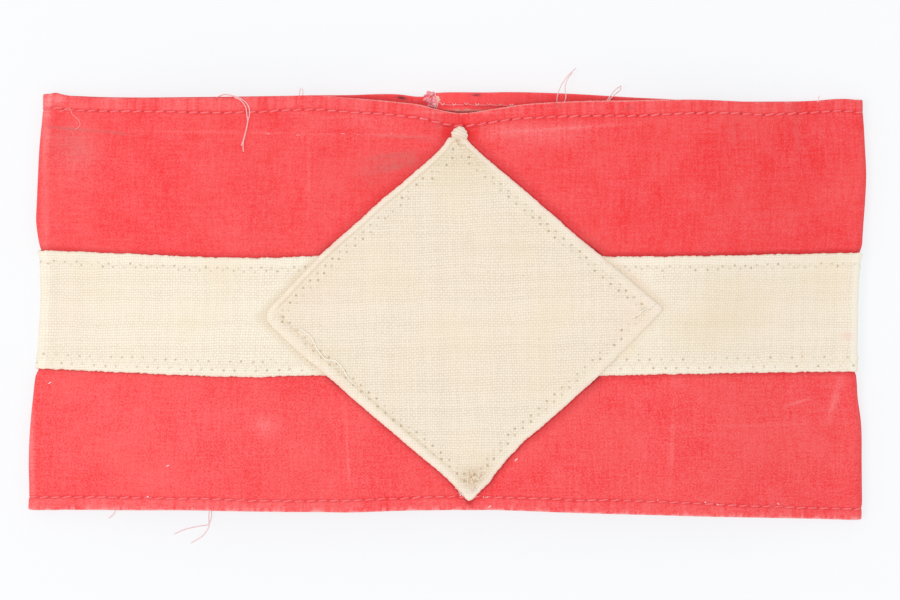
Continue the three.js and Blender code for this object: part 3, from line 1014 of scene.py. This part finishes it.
# Pink tints on the stripe. The first row is a painted shadow beside the diamond's upper right side.
STRIPE_PINK_AND_SHADE = (
    (44.7, 6.8, 7.5, 1.3, -40, 0.45),
    (97.4, -7.3, 2.4, 0.85, 0, 1.6),
    (78, -2, 25, 12, 0, 0.22),
    (-92, -2, 6, 10, 0, 0.25),
)
# How far in from the stripe's edges the lines of its turned rims lie.
STRIPE_RIM = (0, 0.12, 0.3, 0.55, 0.9, 1.3, 1.7, 2.1, 2.4, 2.7, 3.0, 3.4, 3.9, 4.4, 5.0)
# Where the stripe's ends meet, past the seam, and half the gap between them.
STRIPE_START = 8
STRIPE_GAP = 0.06


def stripe_profile(edge):
    """The canvas's thickness at a distance from the stripe's edge: turned under and sewn down."""
    turned = mix(STRIPE_THICK, CANVAS, ramp(3.4, 4.8, edge))
    sewn = 0.12 * bell(edge - 2.7, 0.6)
    return (turned - sewn) * (0.25 + 0.75 * rim_round(edge, 0.55))


def serrated(count, seed, deep=0.14):
    """A worn canvas edge, one thread of the weave after another."""
    return np.random.default_rng(seed).uniform(-deep, deep, count)


def stripe_mesh():
    start = SEAM_AT + STRIPE_START
    u = stations(start + STRIPE_GAP, start + ROUND - STRIPE_GAP)
    low, high = stripe_sides(u)
    low = low + serrated(len(u), 21) + 0.1 * noise(u, 0, 2.5, 22)
    high = high + serrated(len(u), 24) + 0.1 * noise(u, 0, 2.5, 23)
    middle = between(low + STRIPE_RIM[-1], high - STRIPE_RIM[-1], 18)
    heights = with_rims(low, high, STRIPE_RIM, middle)
    from_end = np.minimum(u - u[0], u[-1] - u)
    rows = []
    for outside, y in both_faces(heights, heights):
        edge = np.minimum(y - low, high - y)
        thick = stripe_profile(edge) * (0.4 + 0.6 * rim_round(from_end, 0.6))
        point = wrap(u, y, HALF + AIR + thick * outside)
        x = point[:, 0]
        front = shows(u) & outside
        beside = np.where(front, beside_patch(x, y), FAR)
        # Painted shade on the stripe beside the diamond's edges, strongest beside its left and upper
        # right sides.
        dim = np.where((x > 10) & (y > 0), 0.34, np.where(x < 0, 0.4, 0.14))
        # Painted light on the stripe's folded ends, stronger at the right end, which turns away from the
        # lamp.
        at_fold = ramp(0.0, 0.2, behind(u)) * shows(u)
        rows.append({
            "point": point,
            "cloth": xyz(u, y, 0),
            "rows": xyz(u, high - y, y - low if outside else FAR),
            "yellow": front * bumps(STRIPE_YELLOW, x, y),
            "grime": 0 * u,
            "pink": front * bumps(STRIPE_PINK_AND_SHADE, x, y),
            "line": dim * (1 - ramp(0.3, 1.9, beside)),
            "turned": 1 - ramp(1.6, 2.6, edge),
            "rim": at_fold * np.where(x > 0, 0.85, 0.3),
        })
    return strip_object("canvas_stripe", STRIPE_LOOK, rows)


# The canvas diamond

# Grime on the diamond. The fourth and fifth rows are painted shade in the folds below its top corner.
PATCH_GRIME_AND_SHADE = (
    (5.8, -41.6, 2.8, 2.1, 0, 0.8),
    (9, -39, 3, 2, 30, 0.25),
    (4.8, 16, 1.3, 1.3, 0, 0.12),
    (2.35, 39.7, 1.3, 0.3, -63, 1.2),
    (4.1, 38.4, 1.4, 0.3, -35, 0.7),
    (7.5, 35.5, 5, 2, -42, 0.2),
    (4, 36, 5, 4, 0, 0.12),
)
PATCH_YELLOW = (
    (-28, -12, 8, 5, -45, 0.12),
    (20, 20, 10, 6, 40, 0.15),
    (6, -41, 5, 4, 0, 0.35),
    (3.5, 34, 8, 7, 0, 0.5),
)
PATCH_PINK = ((-30, 3, 10, 5, 40, 0.3), (44, -2, 7, 7, 0, 0.3), (10, 0, 30, 20, 0, 0.08))


def patch_plan(a, b):
    """The diamond's plan: a runs down to the right and b down to the left, from its middle."""
    p, q = a / PATCH_SIDE + 0.5, b / PATCH_SIDE + 0.5
    left_side = side_point("top", "left", q)
    right_side = side_point("right", "bottom", q)
    upper_side = side_point("top", "right", p)
    lower_side = side_point("left", "bottom", p)
    p, q = p[..., None], q[..., None]
    upper = mix(CORNERS["top"], CORNERS["right"], p)
    lower = mix(CORNERS["left"], CORNERS["bottom"], p)
    return mix(left_side, right_side, p) + mix(upper_side, lower_side, q) - mix(upper, lower, q)


def under_patch(x, y):
    """What the diamond lies on: the stripe, and beside it the cotton."""
    beside = beside_stripe(x, y)
    layer = mix(STRIPE_THICK, CANVAS, ramp(3.4, 4.8, -beside)) + AIR
    return front_mid(x, y) + HALF + SEATED + layer * (1 - ramp(0.2, 4.2, beside))


def patch_profile(edge):
    """The diamond's thickness at a distance from its edge, with its zigzag sewing."""
    turned = mix(0.95, CANVAS, ramp(3.8, 5.4, edge))
    puff = 0.12 * bell(edge - 1.5, 0.9)
    sewn = 0.15 * bell(edge - 3.1, 0.9)
    return (turned + puff - sewn) * (0.06 + 0.94 * rim_round(edge, 1.7))


def rounding(a, b):
    """The radius of the diamond's nearest corner."""
    return np.where((a < 0) & (b > 0), LEFT_ROUNDING, PATCH_ROUNDING)


def patch_edge(a, b):
    """How far a point of the diamond lies in from its rounded outline."""
    beside = np.stack([PATCH_SIDE / 2 - np.abs(a), PATCH_SIDE / 2 - np.abs(b)])
    radius = rounding(a, b)
    corner = radius - np.hypot(*np.maximum(radius - beside, 0))
    return np.where(beside.max(0) < radius, corner, beside.min(0)).clip(0)


def rim_lines(a, b):
    """The creases along the turned edges of the diamond's left sides."""
    upper, lower = a + PATCH_SIDE / 2, PATCH_SIDE / 2 - b
    crease = 0.6 * bell(upper - 1.42, 0.3) * ramp(2.5, 5, lower)
    inset = mix(3.3, 2.3, ramp(-PATCH_SIDE / 2, PATCH_SIDE / 2, a))
    fold = 0.55 * bell(lower - inset, 0.36) * ramp(1.5, 4, upper) * ramp(70, 45, upper)
    return np.maximum(crease, fold)


def patch_top(a, b, lift=0.0):
    """A point of the diamond's upper face."""
    x, y = np.moveaxis(patch_plan(a, b), -1, 0)
    edge = patch_edge(a, b)
    soft = 0.1 * noise(x, y, 7, 32) + 0.05 * noise(x, y, 3, 33)
    soft = soft * ramp(0.5, 4, edge) - 0.15 * rim_lines(a, b)
    return xyz(x, y, under_patch(x, y) + patch_profile(edge) + soft + lift)


def round_corners(a, b):
    """Draws a square grid's corners in to a rounded outline."""
    over_a = np.maximum(np.abs(a) - PATCH_SIDE / 2 + rounding(a, b), 0)
    over_b = np.maximum(np.abs(b) - PATCH_SIDE / 2 + rounding(a, b), 0)
    reach = np.hypot(over_a, over_b)
    shrink = np.where(reach > 0, np.maximum(over_a, over_b) / np.maximum(reach, 1e-9), 1)
    return a - np.sign(a) * over_a * (1 - shrink), b - np.sign(b) * over_b * (1 - shrink)


def patch_mesh():
    n = PATCH_GRID
    t = np.linspace(-0.5, 0.5, n) * PATCH_SIDE
    i, j = np.indices((n, n))
    a, b = round_corners(t[i], t[j])
    edge = patch_edge(a, b)
    upper = patch_top(a, b)
    # The edge is ragged by the threads that end in it, on each side in its own way.
    rough = serrated(4 * n, 31, 0.08).reshape(4, n)
    along_b = np.abs(t[i]) > np.abs(t[j])
    ragged = rough[2 * ~along_b + (i <= j), np.where(along_b, j, i)]
    fringe = ragged * (1 - ramp(0, 0.8, edge))
    upper[..., :2] += fringe[..., None] * (upper[..., :2] - CENTRE) / 33
    x, y = upper[..., 0], upper[..., 1]
    lower = xyz(x, y, under_patch(x, y))
    over_stripe = 1 - 0.6 * ramp(0, 2, -beside_stripe(x, y))
    both = lambda value: np.stack([value, value])
    number = i * n + j
    cell = number[:-1, :-1]
    quads = xyz(cell, cell + 1, cell + n + 1, cell + n).reshape(-1, 4)
    loop = np.concatenate([number[:-1, 0], number[-1, :-1], number[:0:-1, -1], number[0, :0:-1]])
    last = np.roll(loop, 1)
    walls = xyz(loop, loop + n * n, last + n * n, last)
    faces = np.concatenate([quads, quads[:, ::-1] + n * n, walls]).tolist()
    return mesh_object(
        "canvas_diamond", PATCH_LOOK, np.stack([upper, lower]), faces,
        cloth=both(xyz(x + 0.02 * y, y - 0.02 * x, 0)),
        rows=np.stack([xyz(a, b, 0), xyz(0 * a, 0, 0)]),
        grime=both(bumps(PATCH_GRIME_AND_SHADE, x, y)),
        yellow=both(bumps(PATCH_YELLOW, x, y)),
        pink=both(bumps(PATCH_PINK, x, y)),
        # painted shade in the creases of the turned left edges
        line=both(rim_lines(a, b)),
        turned=both(1 - ramp(1.6, 2.8, edge)),
        # painted light on the rims, stronger on the right sides that turn away from the lamp, weaker over
        # the stripe
        rim=both((1 - ramp(0.1, 1.6, edge)) * np.where(a > b, 0.8, 0.4) * over_stripe),
    )


# The rolled end of the diamond's top corner: its middle, half width and half height.
KNOB = Table(
    "y x wide high",
    (40.1, 3.3, 0.9, 0.4),
    (40.5, 3.2, 1.6, 0.7),
    (40.9, 2.93, 1.87, 0.95),
    (41.6, 2.75, 1.93, 1.08),
    (42.2, 2.8, 1.72, 1.0),
    (42.75, 2.85, 1.2, 0.75),
    (43.1, 2.95, 0.7, 0.5),
    (43.3, 2.9, 0.2, 0.2),
)


def knob_mesh():
    """The whipped roll of cloth at the diamond's top corner, wound with slanting turns."""
    rings, sides = 54, 40
    y = np.linspace(KNOB.keys[0], KNOB.keys[-1], rings)
    x = KNOB.at("x", y)
    base = under_patch(x, y) + mix(0.3, 0.95, ramp(40.1, 41.3, y))
    rows = []
    for turn in 2 * np.pi * np.arange(sides) / sides:
        c, s = math.cos(turn), math.sin(turn)
        slant = y + 0.8 * c - 0.2 * s + 0.12 * noise(3 * c, y, 1.3, 34)
        wound = 1 + 0.04 * np.sin(2 * np.pi * slant / WHIPPING_PITCH) + 0.05 * noise(2 * c, y, 0.9, 35)
        across, height = x + KNOB.at("wide", y) * wound * c, base + KNOB.at("high", y) * wound * s
        rows.append({"point": xyz(across, y, height), "cloth": xyz(slant, 0, 0)})
    return strip_object("diamond_knob", WHIPPING, rows)


# Threads

def unit(way):
    return way / np.linalg.norm(way, axis=-1, keepdims=True)


def run_along(points):
    """How far along a line each of its points lies."""
    return np.concatenate([[0], np.cumsum(np.linalg.norm(np.diff(points, axis=0), axis=1))])


def strands(name, lines, material, sides=6):
    """One object of many closed threads. Each line is (points, radii)."""
    points, faces, cloth = [], [], []
    angle = 2 * np.pi * np.arange(sides) / sides
    first = 0
    for path, radii in lines:
        way = unit(np.gradient(path, axis=0))
        side = unit(np.cross(way, [0.05, 0.08, 1.0]))
        up = np.cross(side, way)
        ring = side[:, None] * np.cos(angle)[:, None] + up[:, None] * np.sin(angle)[:, None]
        ring *= np.broadcast_to(radii, len(path))[:, None, None]
        points.append((path[:, None] + ring).reshape(-1, 3))
        cloth.append(xyz(run_along(path)[:, None], angle / (2 * np.pi), 0).reshape(-1, 3))
        faces += tube_faces(len(path), sides, first)
        first += len(path) * sides
    return mesh_object(name, material, np.concatenate(points), faces, cloth=np.concatenate(cloth))


# Places along a stitch, from end to end.
STITCH_T = np.linspace(-1, 1, 7)


def stitch_numbers(end):
    """The numbers of a hem's stitches, from the seam on."""
    return range(int(SEAM_AT / STITCH_PITCH) + 1, int(end / STITCH_PITCH) + 1)


def hem_stitches(which, face):
    """The visible threads of a hem's row, all the way round, outside or inside the tube."""
    seed = (41 if which == "top" else 42) + (10 if face == "in" else 0)
    rng = np.random.default_rng(seed)
    lines = []
    for n in stitch_numbers((SEAM_END if face == "in" else SEAM_AT + ROUND) - 1.3):
        middle = n * STITCH_PITCH + rng.uniform(-0.07, 0.07)
        u = middle + (STITCH_HALF + rng.uniform(-0.08, 0.08)) * STITCH_T
        y = hem_stitch_line(u, which) + (STITCH_SLANT + rng.uniform(-0.12, 0.12)) * STITCH_T
        edge = np.minimum(y - bottom_edge(u), top_edge(u) - y)
        rise = 0.17 * (1 - STITCH_T**4) - 0.12
        lift = cotton_lift(u, edge, 0) + rise if face == "out" else -HALF - HEM_LAYER - rise
        radius = rng.uniform(*STITCH_THICK) * (1.0 if which == "top" else 0.8)
        lines.append((wrap(u, y, lift - tuck(u, edge)), radius * (1 - 0.45 * STITCH_T**4)))
    thread = ROSE_THREAD if which == "top" else RED_THREAD
    return strands(f"{which}_hem_stitches_{face}", lines, thread)


def inner_loops():
    """The pale loops of the lower thread, which show inside the upper hem between its stitches."""
    rng = np.random.default_rng(45)
    lines = []
    for n in stitch_numbers(SEAM_END - 2):
        u = (n + 0.5) * STITCH_PITCH + rng.uniform(-0.1, 0.1) + np.array([-0.42, -0.1, 0.1, 0.42])
        y = hem_stitch_line(u, "top") + np.array([0.45, 0.0, 0.0, 0.4]) + rng.uniform(-0.1, 0.1)
        lift = -HALF - HEM_LAYER - 0.08 - tuck(u, top_edge(u) - y)
        lines.append((wrap(u, y, lift), rng.uniform(0.07, 0.16)))
    return strands("top_hem_loops", lines, PINK_THREAD)


def zigzag(place, start, end, rows, pitch):
    """Sewing that goes in and out of cloth between two rows. Place gives the cloth's surface."""
    lines = []
    t = np.linspace(0, 1, 6)
    rise = 0.15 * np.sqrt(np.sin(np.pi * t).clip(0)) - 0.12
    for k in range(int(2 * (end - start) / pitch)):
        run = start + (k + t) * pitch / 2
        inset = mix(rows[k % 2], rows[1 - k % 2], t)
        lines.append((place(run, inset, rise), SEWING_RADIUS))
    return lines


def stripe_sewing():
    lines = []
    first = math.ceil((SEAM_AT + 12) / STRIPE_PITCH) * STRIPE_PITCH
    for side, inward, rows in ((1, -1, UPPER_ROWS), (0, 1, LOWER_ROWS)):
        def place(u, inset, rise):
            y = stripe_sides(u)[side] + inward * inset
            return wrap(u, y, HALF + AIR + stripe_profile(inset) + rise)

        lines += zigzag(place, first, first + ROUND - 10, rows, STRIPE_PITCH)
    return strands("stripe_sewing", lines, SEWING_THREAD)


def patch_sewing():
    lines = []
    for sign in (-1, 1):
        for swapped in (False, True):
            def place(run, inset, rise):
                across = sign * (PATCH_SIDE / 2 - inset)
                return patch_top(run, across, rise) if swapped else patch_top(across, run, rise)

            lines += zigzag(place, -30, 30, PATCH_ROWS, PATCH_PITCH)
    return strands("patch_sewing", lines, SEWING_THREAD)


def curve(points, count=24):
    """A smooth thread through a few points."""
    points = np.array(points, float)
    keys = run_along(points)
    at = np.linspace(0, keys[-1], count)
    return xyz(*(hermite(keys, column, at) for column in points.T))


# Loose threads that lie on the cloth: each point along them, and how high over the cloth.
PINK_STRANDS = (
    ((-55.8, 50.3, -1.5), (-53.8, 51.0, -0.6), (-52.1, 50.7, 0.0), (-50.7, 50.3, 0.2), (-49.3, 49.6, 0.2),
     (-48.1, 48.3, 0.1), (-47.7, 46.7, 0.1), (-48.1, 44.7, 0.1), (-48.7, 41.9, 0.1), (-49.7, 38.6, 0.0)),
    ((-51.4, 50.3, 0.1), (-49.8, 49.5, 0.2), (-48.7, 48.0, 0.2), (-48.4, 46.2, 0.2), (-48.2, 44.4, 0.2),
     (-48.8, 41.4, 0.2), (-49.3, 39.0, 0.2), (-49.2, 37.2, 0.0)),
)
# Loose threads that stand off the cloth's edges.
FADED_STRANDS = (
    ((-35.7, 50.0, 8.2), (-35.8, 51.2, 7.6), (-35.6, 52.7, 6.8)),
    ((-35.2, 50.0, 8.2), (-35.0, 51.4, 7.6), (-35.1, 52.5, 6.8)),
    ((26.4, 48.4, 4.6), (26.5, 50.6, 5.2), (27.5, 53.5, 4.6), (29.2, 55.9, 3.2), (31.0, 57.7, 1.8)),
    ((28.0, 48.6, 4.8), (28.6, 50.6, 5.0), (28.4, 53.0, 4.4), (29.2, 55.3, 3.4), (30.2, 56.6, 2.6)),
    ((37.9, 48.8, 5.0), (39.5, 51.0, 4.4), (40.8, 52.6, 3.4), (42.0, 53.4, 2.8)),
    ((38.3, 48.8, 5.0), (39.4, 50.2, 4.2), (40.9, 51.6, 3.2), (41.9, 52.6, 2.9), (42.0, 53.4, 2.8)),
    ((-57.4, -49.4, 1.6), (-57.6, -52.0, 0.9), (-58.1, -53.0, 0.5), (-60.6, -53.6, 0.25),
     (-64.0, -54.4, 0.2), (-66.5, -55.5, 0.3)),
    ((-57.9, -49.4, 1.6), (-58.1, -51.4, 0.8), (-58.1, -53.6, 0.4), (-59.3, -55.6, 0.2),
     (-62.4, -57.7, 0.2)),
    ((-80.6, -49.2, 2.0), (-81.2, -50.6, 1.0), (-82.4, -51.6, 0.6)),
    ((89.6, 49.4, 5.2), (89.7, 50.2, 5.2), (90.0, 50.9, 5.0)),
)
CURL = (
    (-94.0, 47.1, 0.0), (-92.9, 47.5, 0.1), (-91.9, 48.0, 0.2), (-91.4, 47.6, 0.2), (-91.0, 46.6, 0.2),
    (-90.2, 45.8, 0.2), (-89.3, 44.9, 0.3), (-89.0, 43.9, 0.3), (-89.5, 43.2, 0.2), (-90.4, 42.7, 0.0),
)
CREAM_STRANDS = (
    ((-35.6, -5.4, -0.05), (-32.9, -7.5, 0.05), (-31.2, -10.7, 0.05), (-29.1, -12.9, 0.0),
     (-27.2, -13.1, 0.1), (-25.3, -15.0, 0.05), (-23.9, -17.3, 0.05), (-22.0, -19.3, -0.1)),
    ((44.2, -2.8, 0.0), (45.9, -2.0, 0.2), (47.0, -1.0, 0.2), (47.8, -0.6, 0.0)),
)
# Pale flecks on the red cotton.
FLECKS = (
    # x, y, half length, turn, radius
    (-67.5, -38.5, 0.35, 25, 0.12),
    (-96.4, -18.6, 0.4, 30, 0.12),
    (16.5, -37.0, 0.4, 38, 0.13),
    (10.1, -48.3, 0.35, 30, 0.13),
    (50.6, -46.8, 0.12, 80, 0.1),
    (62.1, -47.3, 0.18, 10, 0.13),
    (65.1, -47.8, 0.2, -10, 0.1),
    (79.9, -47.8, 0.25, -50, 0.1),
    (-72.4, -46.0, 0.2, 0, 0.13),
    (-61.6, -48.8, 0.2, 60, 0.1),
    (-6.4, 45.2, 0.15, 70, 0.08),
)
PINK_FLECKS = (
    (-43.2, 41.5, 0.35, -15, 0.08),
    (-36.0, 41.2, 0.5, 0, 0.06),
    (-25.3, 41.6, 0.5, 3, 0.065),
    (-21.6, 41.3, 0.3, 15, 0.055),
    (-13.5, 41.6, 0.2, 0, 0.06),
)


def fibres(middle, spread, count, length, seed, thick):
    """Short curly fibres about a place."""
    rng = np.random.default_rng(seed)
    lines = []
    for _ in range(count):
        steps = [np.array(middle) + rng.uniform(-1, 1, 3) * spread]
        way = unit(rng.normal(0, 1, 3) * (1, 1, 0.5) + (0, 0, 0.2))
        for bend in rng.normal(0, 0.6, (3, 3)):
            way = unit(way + bend)
            steps.append(steps[-1] + way * length * rng.uniform(0.2, 0.45))
        lines.append((curve(steps, 8), rng.uniform(*thick)))
    return lines


def surface(x, y):
    """The height of the cloth that shows at a point, beside the stripe or on the diamond."""
    inset = -beside_patch(x, y)
    on_patch = under_patch(x, y) + patch_profile(inset.clip(0))
    return np.where(inset > 0, on_patch, front_mid(x, y) + HALF + 0.1)


def laid(points, count=40):
    """A thread that lies on the cloth."""
    x, y, lift = curve(points, count).T
    return xyz(x, y, surface(x, y) + 0.05 + lift)


def fleck(x, y, half, turn, radius):
    """A short pale fibre that lies on the cloth."""
    t = np.array([-half, 0, half])
    c, s = heading(turn)
    return laid(xyz(x + t * c, y + t * s, -0.05), 5), radius


def lumps(middle, reach, count, size, seed):
    """Small matted lumps of frayed cloth about a place."""
    rng = np.random.default_rng(seed)
    t = np.linspace(-1, 1, 9)
    lines = []
    for _ in range(count):
        at = np.array(middle) + rng.uniform(-1, 1, 3) * reach
        way = unit(rng.normal(0, 1, 3) * (1, 1, 0.4))
        bend = np.cross(way, (0, 0, 1)) * rng.uniform(-0.3, 0.3)
        long = size * rng.uniform(0.6, 1.0)
        thick = size * rng.uniform(0.4, 0.7) * np.sqrt(1.02 - t * t)
        path = at + long * (t[:, None] * way + (t * t)[:, None] * bend)
        lines.append((path, thick * rng.uniform(0.88, 1.12, 9)))
    return lines


band = band_mesh()
stripe = stripe_mesh()
patch = patch_mesh()
knob = knob_mesh()
cotton_sewing = [hem_stitches(which, face) for which in ("top", "bottom") for face in ("out", "in")]
cotton_sewing.append(inner_loops())
stripe_thread = stripe_sewing()
patch_thread = patch_sewing()

# The frayed end of the seam: lumps and fibres of cloth about these places.
TUFT = (
    # place, reach
    ((-4.4, 50.8, 5.4), (1.0, 0.85, 0.3)),
    ((-3.8, 49.0, 5.6), (0.9, 0.9, 0.3)),
    ((-3.0, 49.3, 6.9), (0.3, 0.8, 0.3)),
    ((-3.1, 48.3, 6.4), (0.8, 0.3, 0.2)),
)
# Small fibres on the soiled lower corner of the diamond.
CORNER_FIBRES = (
    # x, y, count
    (3.3, -44.7, 9),
    (6.2, -44.3, 9),
    (9.0, -45.6, 2),
)
THICK_FIBRES = (0.05, 0.09)
pink_lines = [(laid(points), 0.15) for points in PINK_STRANDS] + [(laid(CURL), 0.05)]
pink_lines += [fleck(*row) for row in PINK_FLECKS]
faded_lines = [(curve(points), 0.12) for points in FADED_STRANDS]
cream_lines = [(laid(points) + (0, 0, 0.1), 0.17) for points in CREAM_STRANDS]
white_lines = [fleck(*row) for row in FLECKS]
rose_lines = []
for number, (place, reach) in enumerate(TUFT):
    above = np.add(place, (0, 0, 0.3))
    before = np.add(place, (0.3, -0.5, 0.7))
    rose_lines += lumps(place, reach, count=12, size=0.8, seed=61 + number)
    pink_lines += lumps(above, reach, count=1 + number, size=0.6, seed=96 + number)
    pink_lines += fibres(place, reach, count=5, length=1.5, seed=66 + number, thick=THICK_FIBRES)
    white_lines += fibres(before, reach, count=3, length=1.0, seed=81 + number, thick=(0.04, 0.07))
for number, (x, y, count) in enumerate(CORNER_FIBRES):
    middle = (x, y, surface(x, y) + 0.2)
    reach = (0.9, 0.6, 0.05)
    white_lines += fibres(middle, reach, count, length=0.9, seed=101 + number, thick=THICK_FIBRES)
raw_lines = lumps((-2.35, 49.9, 7.3), (0.35, 0.6, 0.1), count=9, size=0.5, seed=91)
red_lines = lumps(*TUFT[0], count=8, size=0.5, seed=71) + lumps(*TUFT[1], count=9, size=0.5, seed=72)
loose = [
    strands("pink_threads", pink_lines, PINK_THREAD),
    strands("faded_threads", faded_lines, FADED_THREAD),
    strands("red_threads", red_lines, RED_THREAD),
    strands("frayed_cloth", rose_lines, FRAYED_CLOTH, sides=10),
    strands("raw_edge", raw_lines, RAW_EDGE, sides=10),
    strands("white_fibres", white_lines, WHITE_FIBRE),
    strands("cream_threads", cream_lines, CREAM_THREAD),
]

for piece, node in ((band, "band"), (stripe, "stripe"), (patch, "diamond_patch")):
    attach(piece, "root")
    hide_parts(node)
for piece in (knob, stripe_thread, patch_thread, *cotton_sewing, *loose):
    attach(piece, "root")


# The pale floor, the light and the camera

def floor(half, height):
    """A pale floor that is lit through from below, as a light table is."""
    look = Shader("pale_floor").surface(
        Base_Color=(0.27, 0.19, 0.19),
        Roughness=0.9,
        Specular_IOR_Level=0.0,
        Emission_Color=(0.857, 0.98, 1.0),
        Emission_Strength=0.782,
    )
    corners = [(x * half, y * half, height) for x, y in ((-1, -1), (1, -1), (1, 1), (-1, 1))]
    mesh_object("floor", look, corners, [(0, 1, 2, 3)])


def area_light(name, place, size, power):
    """A round panel of light that faces the part."""
    light = bpy.data.lights.new(name, "AREA")
    light.shape = "DISK"
    light.size = size
    light.energy = power
    obj = add_object(name, light)
    obj.location = place
    obj.rotation_euler = (-Vector(place)).to_track_quat("-Z", "Y").to_euler()


def world(strength):
    """Even white light from all round."""
    made = bpy.data.worlds.new("studio")
    made.use_nodes = True
    background = made.node_tree.nodes["Background"]
    background.inputs["Color"].default_value = (1.0, 1.0, 1.0, 1.0)
    background.inputs["Strength"].default_value = strength
    bpy.context.scene.world = made


def camera(place, lens):
    """The camera, which looks straight down."""
    made = bpy.data.cameras.new("camera")
    made.sensor_width = 36
    made.lens = lens
    made.clip_start = 0.05
    made.clip_end = 20
    bpy.context.scene.camera = add_object("camera", made)
    bpy.context.scene.camera.location = place


floor(half=1500.0, height=-0.02)
world(strength=0.86)
area_light("side_panel", place=(-0.35, -0.06, 0.8), size=0.35, power=2.1)
camera(place=(0.54 * MM, 1.45 * MM, 1.0), lens=164.4)
bpy.context.scene.view_settings.view_transform = "Standard"
